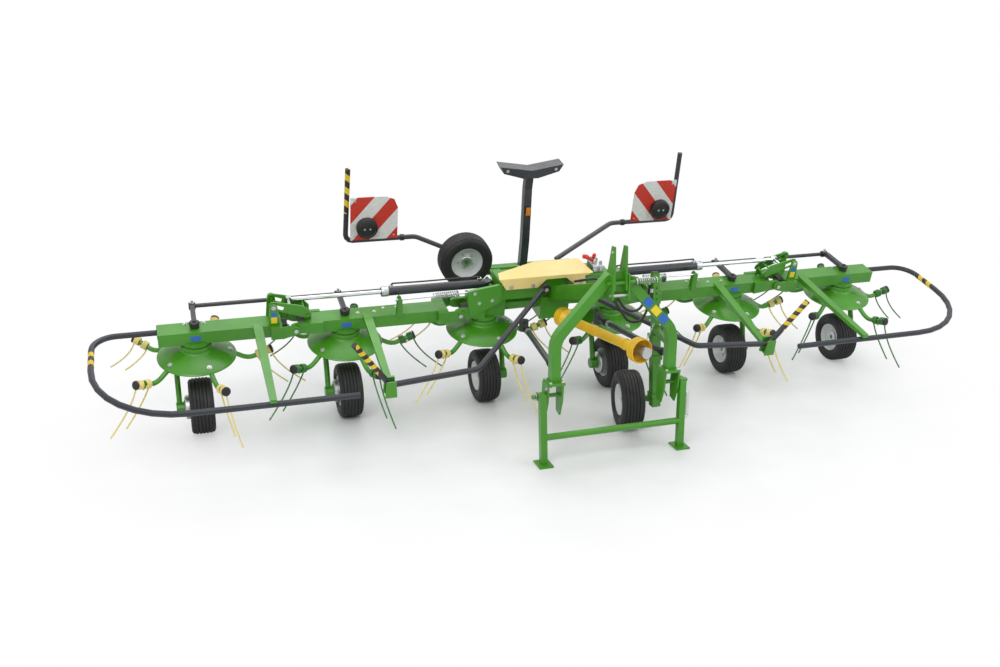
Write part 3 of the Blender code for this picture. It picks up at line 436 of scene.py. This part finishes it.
def smooth_path(points, steps=6):
    """Points on a Catmull-Rom curve through a short list."""
    points = [Vector(p) for p in points]
    ends = [points[0] * 2 - points[1], *points, points[-1] * 2 - points[-2]]
    path = []
    for a, b, c, d in zip(ends, ends[1:], ends[2:], ends[3:]):
        for i in range(steps):
            t = i / steps
            path.append(0.5 * (2 * b + (c - a) * t + (2 * a - 5 * b + 4 * c - d) * t * t
                               + (3 * b - 3 * c + d - a) * t ** 3))
    path.append(points[-1])
    return path


def helix(start, end, radius, turns, across, per_turn=14):
    """Points of a coil from start to end; across is the direction of its first point."""
    axis = (end - start).normalized()
    side = (across - axis * across.dot(axis)).normalized()
    up = axis.cross(side)
    count = int(turns * per_turn)
    points = []
    for i in range(count + 1):
        angle = 2 * pi * turns * i / count
        points.append(start.lerp(end, i / count) + radius * (side * cos(angle) + up * sin(angle)))
    return points


# ---- rotors --------------------------------------------------------------------------------------
HUB_R = 0.112
HUB_TOP = 0.110
ARM_R = 0.0175
WIRE_R = 0.0056
COIL_MEAN = 0.0275
DISC_PROFILE = [
    (0.0305, -0.029), (0.100, -0.029), (0.125, -0.0095), (0.255, -0.0085), (0.268, -0.0095),
    (0.2745, -0.006),
    (0.2755, -0.001), (0.272, 0.003), (0.262, 0.0085), (0.215, 0.0345), (0.165, 0.052), (0.128, 0.064),
    (0.1175, 0.069), (0.1125, 0.075), (HUB_R, 0.080), (HUB_R, 0.104), (0.109, HUB_TOP - 0.0005),
    (0.0305, HUB_TOP - 0.0005)]
ARM_LINE = [(0.215, 0.013), (0.272, -0.020), (0.325, -0.050), (0.372, -0.0585), (0.420, -0.044),
            (0.526, -0.002)]
COIL_TURNS = 4.25
# each coil: where it starts and ends along the arm's end, and its tine's knee and tip as (radius, h)
COILS = ((0.040, 0.082, ((0.474, -0.170), (0.633, -0.310))),
         (0.146, 0.104, ((0.562, -0.160), (0.762, -0.320))))
ARM_COUNT = 5


def arm_point(spoke, radius, h, aside=0.0):
    return spoke * radius + Vector((0, 0, h)) + Vector((-spoke.y, spoke.x, 0)) * aside


def make_rotor(index, wire):
    place = ROW @ Matrix.Translation((rotor_x(index), 0, 0))
    piece = Piece("rotor_%d_detail" % index, place)
    piece.turned(DISC_PROFILE, (0, 0, 0), (0, 0, 1), green, 64)
    for k in range(ARM_COUNT):
        turn = 2 * pi * k / ARM_COUNT
        spoke = Vector((cos(turn), sin(turn), 0))
        line = smooth_path([arm_point(spoke, r, h) for r, h in ARM_LINE], 5)
        piece.tube(line, ARM_R, green, 14)
        foot = arm_point(spoke, 0.376, -0.0585)
        tip = arm_point(spoke, 0.526, -0.002)
        along = (tip - foot).normalized()
        # the two wound coils with their clamp between, and the end cap
        under = Vector((0, 0, -1))
        for start, end, (knee, last) in COILS:
            coil = helix(foot + along * start, foot + along * end, COIL_MEAN, COIL_TURNS, under)
            tine = curve(coil[0], arm_point(spoke, *knee), arm_point(spoke, *last), 12)
            piece.tube(tine, WIRE_R, wire, 8)
            piece.tube(coil, WIRE_R, wire, 8)
        middle = foot + along * 0.093
        piece.tube([middle - along * 0.006, middle + along * 0.006], 0.0195, green, 20)
        piece.bolt(middle + Vector((0, 0, 0.018)), (0, 0, 1), 0.0070, 0.008, zinc)
        piece.tube([middle - Vector((0, 0, 0.018)), middle - Vector((0, 0, 0.040))], 0.0050, zinc, 10)
        piece.bolt(middle - Vector((0, 0, 0.034)), (0, 0, -1), 0.0085, 0.008, zinc, False)
        cap = foot + along * 0.149
        reach = [0.0, 0.006, 0.012, 0.0155]
        piece.tube([cap + along * t for t in reach], [0.0325, 0.0325, 0.030, 0.021], soft_black, 20)
        piece.bolt(arm_point(spoke, 0.232, 0.0265), spoke * 0.45 + Vector((0, 0, 1)), 0.0125, 0.010, zinc)
    piece.done("rotor_%d" % index, ["rotor_%d" % index], 40)


for number in range(1, 7):
    make_rotor(number, yellow_wire if number % 2 else green_wire)


# ---- wheels --------------------------------------------------------------------------------------
def make_wheel(name, body, node, centre, axis, radius, width, drum=0, rim=0.1115):
    """Ribbed tyre on a dished rim; a hub drum stands out on side drum (1 or -1 along the axis)."""
    piece = Piece(name)
    half = width / 2
    centre = Vector(centre)
    axis = Vector(axis).normalized()
    tread = []
    ribs = 5
    flat = half * 0.70
    for k in range(ribs):
        low = -flat + 2 * flat * k / ribs
        high = -flat + 2 * flat * (k + 1) / ribs
        crown = radius - 0.0022 * abs(2 * (k + 0.5) / ribs - 1) ** 2 - 0.0004
        tread += [(crown - 0.0065, low + 0.0012), (crown, low + 0.0034), (crown, high - 0.0034),
                  (crown - 0.0065, high - 0.0012)]
    wall = [(rim - 0.004, 0.62), (rim + 0.006, 0.78), (radius * 0.66, 0.955), (radius * 0.76, 0.99),
            (radius * 0.80, 0.985), (radius * 0.87, 0.985), (radius * 0.94, 0.90), (radius * 0.972, 0.80)]
    profile = [(r, -half * t) for r, t in wall] + tread + [(r, half * t) for r, t in reversed(wall)]
    profile += [(rim - 0.010, half * 0.50), (rim - 0.010, -half * 0.50)]
    piece.turned(profile, centre, axis, rubber, 56)
    rim_profile = []
    for sign in (1, -1):
        part = [(rim + 0.004, half * 0.80), (rim + 0.0015, half * 0.84), (rim - 0.003, half * 0.80),
                (rim - 0.012, half * 0.52), (rim - 0.018, half * 0.34), (0.070, half * 0.26),
                (0.056, half * 0.30),
                (0.046, half * 0.34)]
        part = [(r, t * sign) for r, t in part]
        rim_profile += part if sign > 0 else part[::-1]
    piece.turned(rim_profile, centre, axis, rim_grey, 48)
    side = axis.cross(Vector((0, 0, 1))).normalized()
    up = side.cross(axis)
    for sign in (1, -1):
        out = axis * sign
        piece.turned([(0.0180, -half * 0.20), (0.046, -half * 0.20), (0.046, half * 0.50),
                      (0.041, half * 0.545),
                      (0.0180, half * 0.545)], centre, out, zinc, 28)
        if drum == sign:
            piece.turned([(0.0465, half * 0.30), (0.086, half * 0.30), (0.0865, half * 1.24),
                          (0.081, half * 1.32),
                          (0.062, half * 1.36), (0.054, half * 1.42), (0.0465, half * 1.42)], centre, out,
                         zinc, 40)
        for k in range(5 if drum != sign else 0):
            angle = pi / 4 + 2 * pi / 5 * k
            spot = centre + out * (half * 0.285) + 0.062 * (side * cos(angle) + up * sin(angle))
            piece.bolt(spot, out, 0.0075, 0.008, zinc, False)
    return piece.done(body, [node], 35)


LEG_SIDE = {1: -1, 2: -1, 3: 1, 4: -1, 5: 1, 6: 1}
for number in range(1, 7):
    make_wheel("wheel_%d_detail" % number, "wheel_%d" % number, "wheel_%d" % number,
               (rotor_x(number), WHEEL_Y, WHEEL_R), (1, 0, 0), WHEEL_R, WHEEL_W, LEG_SIDE[number])
GAUGE_YAW = radians(-10)
make_wheel("gauge_wheel_detail", "gauge_wheel", "gauge_wheel", (0.305, -0.905, BIG_WHEEL_R),
           (-cos(GAUGE_YAW), -sin(GAUGE_YAW), 0), BIG_WHEEL_R, BIG_WHEEL_W)
spare_low, spare_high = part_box("spare_wheel")
spare_axis = ROW.to_3x3() @ Vector((0, 1, 0))
make_wheel("spare_wheel_detail", "frame", "spare_wheel", (spare_low + spare_high) / 2, spare_axis,
           BIG_WHEEL_R,
           BIG_WHEEL_W, rim=0.124)

# ---- materials of the CAD nodes ------------------------------------------------------------------
NODE_FINISH = {
    "transport_rest": dark, "strut_left": dark, "strut_right": dark,
    "cylinder_left": dark, "cylinder_right": dark,
    "cylinder_rod_left": chrome, "cylinder_rod_right": chrome, "top_cover": cream, "pto_guard": amber,
    "pto_shaft": zinc, "warning_board_left": boards["left"], "warning_board_right": boards["right"],
    "light_frame_left": light_tube, "light_frame_right": dark, "outer_guard_left": outer_tube,
    "outer_guard_right": outer_tube,
    "inner_guard_left": inner_tube["left"], "inner_guard_right": inner_tube["right"],
    "hydraulic_hose_front": soft_black, "hydraulic_hose_rear": soft_black,
}
for node_name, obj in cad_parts.items():
    if node_name.startswith("steer_rod"):
        finish = dark
    elif node_name.startswith("spring_rod"):
        finish = zinc
    elif node_name.startswith("wheel_leg"):
        finish = leg_paint
    else:
        finish = NODE_FINISH.get(node_name, green)
    if not obj.data.materials:
        obj.data.materials.append(finish)
    for slot_index in range(len(obj.data.materials)):
        obj.data.materials[slot_index] = finish

# ---- fittings of each side -----------------------------------------------------------------------
for s, side in ((-1, "left"), (1, "right")):
    # spring rod: thin bright rod, wound spring and its end plates
    piece = Piece("spring_rod_%s_detail" % side, ROW)
    start = Vector((s * 0.686, SPRING_F, 0.360))
    end = Vector((s * 1.235, SPRING_F, 0.348))
    along = (end - start).normalized()
    piece.tube([start, end], 0.0070, chrome, 14)
    piece.turned([(0.0108, -0.0115), (0.0190, -0.0115), (0.0195, -0.009), (0.0195, 0.009),
                  (0.0190, 0.0115),
                  (0.0108, 0.0115)], (s * 0.670, SPRING_F, 0.360), (0, 1, 0), zinc, 24)
    piece.tube(helix(start + along * 0.074, start + along * 0.250, 0.0205, 11, Vector((0, 0, 1))), 0.0042,
               zinc, 8)
    for spot in (0.066, 0.252):
        piece.tube([start + along * spot, start + along * (spot + 0.005)], 0.0250, zinc, 24)
    piece.tube([end - along * 0.022, end - along * 0.010], 0.0125, zinc, 6)
    piece.done("spring_rod_" + side, ["spring_rod_" + side])

    # cylinder: gland, port blocks and the pipe along the barrel
    piece = Piece("cylinder_%s_fittings" % side, ROW)
    f, h = CYLINDER_F, CYLINDER_H
    piece.turned([(0.0218, 1.262), (0.0372, 1.262), (0.0380, 1.266), (0.0380, 1.306), (0.0360, 1.313),
                  (0.0218, 1.313)], (0, f, h), (s, 0, 0), zinc, 32)
    for x in (1.240, 0.560):
        piece.box(sorted((s * (x - 0.014), s * (x + 0.014))), (f - 0.013, f + 0.013),
                  (h + 0.028, h + 0.052), zinc, 0.002)
    route = [(s * 1.240, f, h + 0.046), (s * 1.232, f, h + 0.060), (s * 1.205, f, h + 0.063),
             (s * 1.00, f, h + 0.060),
             (s * 0.70, f, h + 0.062), (s * 0.600, f, h + 0.060), (s * 0.566, f, h + 0.058),
             (s * 0.560, f, h + 0.046)]
    piece.tube(smooth_path(route, 5), 0.0062, soft_black, 10)
    piece.done("cylinder_" + side)

    # hinge pins, sticker plate, bolts and boot of the middle beam
    piece = Piece("mid_beam_%s_fittings" % side, ROW)
    for face in (-1, 1):
        for x in HINGE_X:
            piece.bolt((s * x, face * (LUG_FACE - 0.0003), 0.200), (0, face, 0), 0.0115, 0.009, zinc)
    piece.box(sorted((s * 1.555, s * 1.625)), (BEAM_SIDE - 0.0008, BEAM_SIDE), (0.160, 0.200), blue_plate)
    for x in (1.375, 1.497):
        piece.bolt((s * x, 0.0, BEAM_TOP), (0, 0, 1), 0.010, 0.009, zinc)
    for x in (1.20, 1.30, 1.86):
        piece.bolt((s * x, 0.040, BEAM_TOP), (0, 0, 1), 0.008, 0.007, zinc)
    piece.tube([(s * 1.93, 0.0, SHAFT_H), (s * 1.88, 0.0, SHAFT_H)], [0.040, 0.052], soft_black, 24)
    piece.done("mid_" + side)

    piece = Piece("outer_beam_%s_fittings" % side, ROW)
    piece.box(sorted((s * 2.615, s * 2.685)), (BEAM_SIDE - 0.0008, BEAM_SIDE), (0.160, 0.200), blue_plate)
    # plates on the front ear, under its pin
    piece.box(sorted((s * 2.088, s * 2.126)), (EAR_SIDE - 0.0008, EAR_SIDE), (0.300, 0.335), blue_plate)
    piece.box(sorted((s * 2.086, s * 2.128)), (EAR_SIDE - 0.0008, EAR_SIDE), (0.248, 0.297), yellow_plate)
    for x in (2.585, 2.715):
        piece.bolt((s * x, 0.052, BEAM_TOP), (0, 0, 1), 0.010, 0.009, zinc)
    piece.tube([(s * 2.012, 0.0, SHAFT_H), (s * 2.052, 0.0, SHAFT_H)], [0.040, 0.052], soft_black, 24)
    piece.bolt((s * 2.107, -0.0735, 0.372), (0, -1, 0), 0.0125, 0.010, zinc)
    # end plate of the guard tube
    piece.box(sorted((s * 2.9032, s * 2.9070)), (0.020, 0.080), (0.145, 0.222), dark)
    piece.done("outer_" + side)

    # lamp in front of the board, with its ring, the board's bolts and the tube's end cap
    piece = Piece("lamp_" + side, ROW)
    lamp_at = (s * LAMP[0], LAMP[1], LAMP[2])
    piece.turned([(0.0005, 0.0), (0.078, 0.0), (0.0825, 0.003), (0.0845, 0.009), (0.0845, 0.0440),
                  (0.0005, 0.0440)],
                 lamp_at, (0, 1, 0), soft_black, 56)
    piece.turned([(0.060, -0.0012), (0.0635, -0.0020), (0.067, -0.0012), (0.067, 0.001), (0.060, 0.001)],
                 lamp_at, (0, 1, 0), lens, 48)
    for dx in (-0.022, 0.022):
        piece.bolt((s * LAMP[0] + dx, LAMP[1] - 0.0002, LAMP[2]), (0, -1, 0), 0.0060, 0.004, zinc)
    for x, h in ((1.05, 0.43), (1.36, 0.43), (1.36, 0.735)):
        piece.bolt((s * x, 0.8302, h), (0, -1, 0), 0.0060, 0.005, zinc)
    piece.tube([(s * 0.955, 0.880, 0.375), (s * 0.985, 0.880, 0.375)], 0.0265, soft_black, 24)
    piece.done("frame")

    # cylinder's foot pin, bolts of the end plates and the boot on the drive joint
    piece = Piece("centre_%s_fittings" % side, ROW)
    piece.bolt((s * 0.480, -0.0165, 0.362), (0, -1, 0), 0.012, 0.010, zinc)
    piece.bolt((s * 0.100, -0.184, 0.393), (0, -1, 0), 0.011, 0.009, zinc)
    for x, h in ((0.500, 0.300), (0.600, 0.285), (0.640, 0.370)):
        piece.bolt((s * x, -0.1122, h), (0, -1, 0), 0.0095, 0.008, zinc)
    piece.tube([(s * 0.665, 0.0, SHAFT_H), (s * 0.715, 0.0, SHAFT_H)], [0.052, 0.040], soft_black, 24)
    piece.done("frame")

# ---- fittings of the centre and the front --------------------------------------------------------
piece = Piece("cover_fittings", ROW)
for x, h in ((-0.360, 0.405), (-0.190, 0.405), (0.200, 0.405)):
    piece.bolt((x, -0.1222, h), (0, -1, 0), 0.0110, 0.010, zinc)
piece.done("frame")

piece = Piece("rest_fittings", ROW)
piece.box((-0.018, 0.018), (0.626, 0.6305), (0.620, 0.690), amber_lens, 0.001)
for x in (-0.200, 0.200):
    piece.bolt((x, 0.6295, 1.010), (0, -1, 0), 0.009, 0.008, zinc)
piece.box((-0.060, 0.060), (0.598, 0.6180), (0.1605, 0.172), dark)
for x in (-0.045, 0.045):
    piece.bolt((x, 0.608, 0.172), (0, 0, 1), 0.009, 0.008, zinc)
piece.done("frame")

piece = Piece("headstock_fittings")
for s in (-1, 1):
    x = s * HEAD_X
    for dx in (-0.042, 0.042):
        for dy in (-0.050, 0.050):
            piece.bolt((x + dx, HEAD_Y + dy, 0.578), (0, 0, 1), 0.0085, 0.009, zinc)
    for y, z in ((HEAD_Y - 0.020, 0.530), (HEAD_Y + 0.045, 0.360)):
        piece.bolt((x + s * 0.0622, y, z), (s, 0, 0), 0.0105, 0.009, zinc)
    # collar and linch pin on each lower link pin
    piece.turned([(0.0142, 0.0), (0.022, 0.0), (0.022, 0.006), (0.0142, 0.006)],
                 (x + s * 0.121, HEAD_Y + 0.020, LINK_PIN_Z),
                 (s, 0, 0), zinc, 24)
    ring_centre = Vector((x + s * 0.139, HEAD_Y + 0.020, LINK_PIN_Z))
    piece.tube([ring_centre + 0.0195 * Vector((0.15 * cos(a), cos(a), sin(a)))
                for a in (2 * pi * k / 20 for k in range(20))], 0.0022, zinc, 6, closed=True)
pin_end = Vector((0.3305, HEAD_Y - 0.058, 1.228))
piece.turned([(0.0005, -0.016), (0.0130, -0.016), (0.0190, -0.010), (0.0205, 0.0), (0.0190, 0.009),
              (0.0120, 0.014),
              (0.0005, 0.015)], pin_end - Vector((0.014, 0, 0)), (1, 0, 0), soft_black, 28)
piece.tube(helix(pin_end - Vector((0.205, 0, 0)), pin_end - Vector((0.075, 0, 0)), 0.0175, 9,
                 Vector((0, 0, 1))),
           0.0026, zinc, 8)
for spot in (0.212, 0.070):
    piece.turned([(0.0127, -0.003), (0.022, -0.003), (0.022, 0.003), (0.0127, 0.003)],
                 pin_end - Vector((spot, 0, 0)), (1, 0, 0), zinc, 24)
for s in (-1, 1):
    piece.bolt((s * 0.0492, HEAD_Y - 0.044, 1.430), (s, 0, 0), 0.009, 0.008, zinc)
# clevis body on the top link's pin: two arms in front of the prongs with their own cross pin
for s in (-1, 1):
    arm_x = sorted((s * 0.0520, s * 0.0620))
    piece.box(arm_x, (HEAD_Y - 0.090, HEAD_Y - 0.030), (1.120, 1.290), green, 0.002)
piece.tube([(-0.070, HEAD_Y - 0.060, 1.145), (0.070, HEAD_Y - 0.060, 1.145)], 0.0105, zinc, 16)
# plates on the right-hand diagonal
slope = Vector((-0.365, 0, 0.395)).normalized()
across = Vector((slope.z, 0, -slope.x))
for spot, plate in ((0.115, blue_plate), (0.200, yellow_plate), (0.285, blue_plate)):
    middle = Vector((HEAD_X, HEAD_Y - 0.0335, 0.860)) + slope * spot
    corners = [middle + across * a + slope * b for a,
               b in ((-0.026, -0.034), (0.026, -0.034), (0.026, 0.034), (-0.026, 0.034))]
    piece.rings([corners, [c - Vector((0, 0.0010, 0)) for c in corners]], plate)
piece.done("frame")

piece = Piece("shaft_guard_fittings")
along = (PTO_NOSE - PTO_TAIL).normalized()
length = (PTO_NOSE - PTO_TAIL).length
GUARD_RINGS = (
    (0.150, 0.162, 0.0405), (0.420, 0.436, 0.0400), (length - 0.190, length - 0.176, 0.0420))
for start, end, radius in GUARD_RINGS:
    piece.turned([(0.0362, start), (radius, start + 0.002), (radius, end - 0.002), (0.0362, end)],
                 PTO_TAIL, along,
                 amber, 40)
for k in range(3):
    t = length - 0.052 + 0.014 * k
    piece.turned([(0.0862, t), (0.0880, t + 0.002), (0.0880, t + 0.006), (0.0862, t + 0.008)], PTO_TAIL,
                 along, amber, 48)
piece.done("frame")

piece = Piece("shaft_end")
piece.turned([(0.014, length - 0.020), (0.034, length - 0.020), (0.038, length - 0.010),
              (0.038, length + 0.020),
              (0.030, length + 0.028), (0.030, length + 0.052), (0.018, length + 0.052), (0.018, length)],
             PTO_TAIL,
             along, soft_black, 36)
piece.done("pto_shaft")

# safety chain from the shaft guard to the gauge post, a catenary of alternate links
piece = Piece("safety_chain")
first = PTO_TAIL + along * (length - 0.140) + Vector((0.036, 0, -0.012))
last = Vector((0.438, -0.998, 0.800))
link_count = 22
spots = []
for k in range(link_count + 1):
    t = k / link_count
    spots.append(first.lerp(last, t) + Vector((0, 0, -0.24 * t * (1 - t))))
for k, (a, b) in enumerate(zip(spots, spots[1:])):
    way = (b - a).normalized()
    wide = way.cross(Vector((0.3, 0.5, 0.8))).normalized()
    if k % 2:
        wide = wide.cross(way)
    centre = (a + b) / 2
    reach = (b - a).length * 0.74
    turns = (2 * pi * j / 14 for j in range(14))
    ring = [centre + way * reach * cos(t) + wide * 0.0055 * sin(t) for t in turns]
    piece.tube(ring, 0.0016, zinc, 6, closed=True)
piece.done("frame")


def post_x(z):
    """x of the leaning gauge post's centre line at a height."""
    share = (z - POST_FOOT[1]) / (POST_HEAD[1] - POST_FOOT[1])
    return POST_FOOT[0] + share * (POST_HEAD[0] - POST_FOOT[0])


piece = Piece("gauge_post_fittings")
for z in (0.700, 0.545, 0.255):
    for dy in (-0.018, 0.018):
        piece.bolt((post_x(z) + SLEEVE_SIDE, POST_Y + dy, z), (1, 0, 0), 0.0080, 0.007, zinc)
piece.box((post_x(1.169) - 0.022, post_x(1.169) + 0.022), (-0.992, -0.948), (1.1675, 1.1720), soft_black,
          0.001)
for z in (0.98, 1.02, 1.06):
    piece.turned([(0.0005, -0.0005), (0.0065, -0.0005), (0.0065, 0.0006), (0.0005, 0.0006)],
                 (post_x(z), -0.9942, z),
                 (0, -1, 0), soft_black, 16)
# crank with a ball knob on the sleeve
CRANK_Z = 0.600
piece.tube([(post_x(CRANK_Z) + 0.030, POST_Y, CRANK_Z), (post_x(CRANK_Z) + 0.105, POST_Y, CRANK_Z)],
           0.0080, zinc, 12)
piece.tube([(post_x(CRANK_Z) + 0.100, POST_Y, CRANK_Z), (post_x(CRANK_Z) + 0.106, POST_Y, CRANK_Z),
            (post_x(CRANK_Z) + 0.122, POST_Y, CRANK_Z), (post_x(CRANK_Z) + 0.130, POST_Y, CRANK_Z)],
           [0.010, 0.019, 0.019, 0.010], soft_black, 24)
piece.done("frame")

# clips, end fittings and the valve block beside the cover
piece = Piece("hose_fittings")
for z, y in ((1.045, -0.986), (1.095, -0.957)):
    x = post_x(z) - 0.035
    piece.tube([(x, y, z - 0.014), (x, y, z + 0.014)], 0.0135, zinc, 16)
piece.done("frame")

piece = Piece("valve_block", ROW)
piece.box((0.310, 0.400), (-0.060, 0.060), (0.4402, 0.495), zinc, 0.003)
for x, f, reach in ((0.330, -0.035, 0.030), (0.380, -0.035, 0.022), (0.355, 0.000, 0.034),
                    (0.330, 0.036, 0.026)):
    piece.tube([(x, f, 0.494), (x, f, 0.494 + reach)], 0.0125, zinc, 6)
    piece.tube([(x, f, 0.494 + reach), (x, f, 0.494 + reach + 0.012)], 0.0090, zinc, 16)
for x, f in ((0.322, -0.083), (0.372, -0.083)):
    piece.tube([(x, f + 0.024, 0.470), (x, f, 0.470)], 0.0115, zinc, 6)
piece.tube([(0.318, -0.010, 0.520), (0.286, -0.010, 0.542), (0.268, -0.010, 0.555),
            (0.240, -0.010, 0.560)],
           [0.0085, 0.0150, 0.0185, 0.0165], red, 20)
piece.tube([(0.352, 0.036, 0.494), (0.352, 0.036, 0.530), (0.352, 0.036, 0.550)],
           [0.0120, 0.0160, 0.0130], red, 20)
piece.done("frame")

piece = Piece("stand_spring")
spring_x = STAND_TOP_X + 0.0375
piece.tube(helix(Vector((spring_x, STAND_SPRING_Y, 0.225)), Vector((spring_x, STAND_SPRING_Y, 0.400)),
                 0.0130, 16, Vector((1, 0, 0)), 12),
           0.0022, zinc, 6)
for z, reach in ((0.225, -0.022), (0.400, 0.018)):
    piece.tube(smooth_path([(spring_x + 0.013, STAND_SPRING_Y, z),
                            (spring_x + 0.006, STAND_SPRING_Y, z + reach * 0.6),
                            (spring_x - 0.012, STAND_SPRING_Y, z + reach)], 4), 0.0022, zinc, 6)
piece.done("parking_stand")

for s, side in ((-1, "left"), (1, "right")):
    top = Vector((s * 0.300, -0.330, 0.660))
    foot = Vector((s * HEAD_X, HEAD_Y + 0.034, 0.665))
    along_strut = (foot - top).normalized()
    piece = Piece("strut_%s_collars" % side)
    for spot, radius, finish in ((0.095, 0.0270, soft_black), (0.150, 0.0255, zinc),
                                 (0.860, 0.0270, soft_black)):
        at = top + along_strut * spot
        piece.tube([at, at + along_strut * 0.030], radius, finish, 28)
    piece.done("frame")

# eyes of the steering levers over the rods, with the pivot cap on each kingpin
for number, rod in ((1, "outer_left"), (2, "mid_left"), (5, "mid_right"), (6, "outer_right")):
    x = rotor_x(number)
    piece = Piece("steer_eye_%d" % number, ROW)
    piece.turned([(0.0170, -0.024), (0.0270, -0.024), (0.0270, 0.024), (0.0170, 0.024)],
                 (x, STEER_F, STEER_H), (1, 0, 0),
                 soft_black, 28)
    piece.bolt((x, STEER_F, STEER_H + 0.027), (0, 0, 1), 0.0105, 0.020, zinc)
    piece.done("steer_rod_" + rod)
    piece = Piece("kingpin_cap_%d" % number, ROW)
    piece.turned([(0.0005, 0.258), (0.036, 0.258), (0.037, 0.262), (0.037, 0.270), (0.030, 0.277),
                  (0.0005, 0.277)],
                 (x, 0, 0), (0, 0, 1), soft_black, 36)
    piece.bolt((x, 0, 0.277), (0, 0, 1), 0.0115, 0.009, soft_black)
    piece.done("leg_%d" % number)

# ---- floor ---------------------------------------------------------------------------------------
floor_mesh = bpy.data.meshes.new("floor")
floor_mesh.from_pydata([(-60, -60, 0), (60, -60, 0), (60, 60, 0), (-60, 60, 0)], [], [(0, 1, 2, 3)])
floor = bpy.data.objects.new("floor", floor_mesh)
scene.collection.objects.link(floor)
floor.location.z = -0.0005
material, nodes, links, shader = new_material("studio_floor")
coords = nodes.new("ShaderNodeTexCoord").outputs["Object"]
tone = ramp(nodes, links, noise(nodes, links, coords, 1.3), [(0.3, grey(0.80)), (0.7, grey(0.90))])
links.new(tone, shader.inputs["Base Color"])
shader.inputs["Roughness"].default_value = 0.42
flat = nodes.new("ShaderNodeVectorMath")
flat.operation = "MULTIPLY"
flat.inputs[1].default_value = (0.72, 1.0, 0.0)
links.new(coords, flat.inputs[0])
distance = nodes.new("ShaderNodeVectorMath")
distance.operation = "LENGTH"
links.new(flat.outputs["Vector"], distance.inputs[0])
wobble = nodes.new("ShaderNodeMath")
wobble.operation = "MULTIPLY_ADD"
wobble.inputs[1].default_value = 0.9
links.new(noise(nodes, links, coords, 0.9, 3.0), wobble.inputs[0])
links.new(distance.outputs["Value"], wobble.inputs[2])
fade = nodes.new("ShaderNodeMapRange")
fade.interpolation_type = "SMOOTHSTEP"
fade.inputs["From Min"].default_value = 1.6
fade.inputs["From Max"].default_value = 3.3
links.new(wobble.outputs[0], fade.inputs["Value"])
camera_ray = nodes.new("ShaderNodeLightPath").outputs["Is Camera Ray"]
share = nodes.new("ShaderNodeMath")
share.operation = "MULTIPLY"
links.new(fade.outputs["Result"], share.inputs[0])
links.new(camera_ray, share.inputs[1])
white = nodes.new("ShaderNodeEmission")
white.inputs["Strength"].default_value = 1.0
blend_floor = nodes.new("ShaderNodeMixShader")
links.new(share.outputs[0], blend_floor.inputs[0])
links.new(shader.outputs[0], blend_floor.inputs[1])
links.new(white.outputs[0], blend_floor.inputs[2])
links.new(blend_floor.outputs[0], nodes["Material Output"].inputs["Surface"])
floor_mesh.materials.append(material)

bpy.context.view_layer.update()
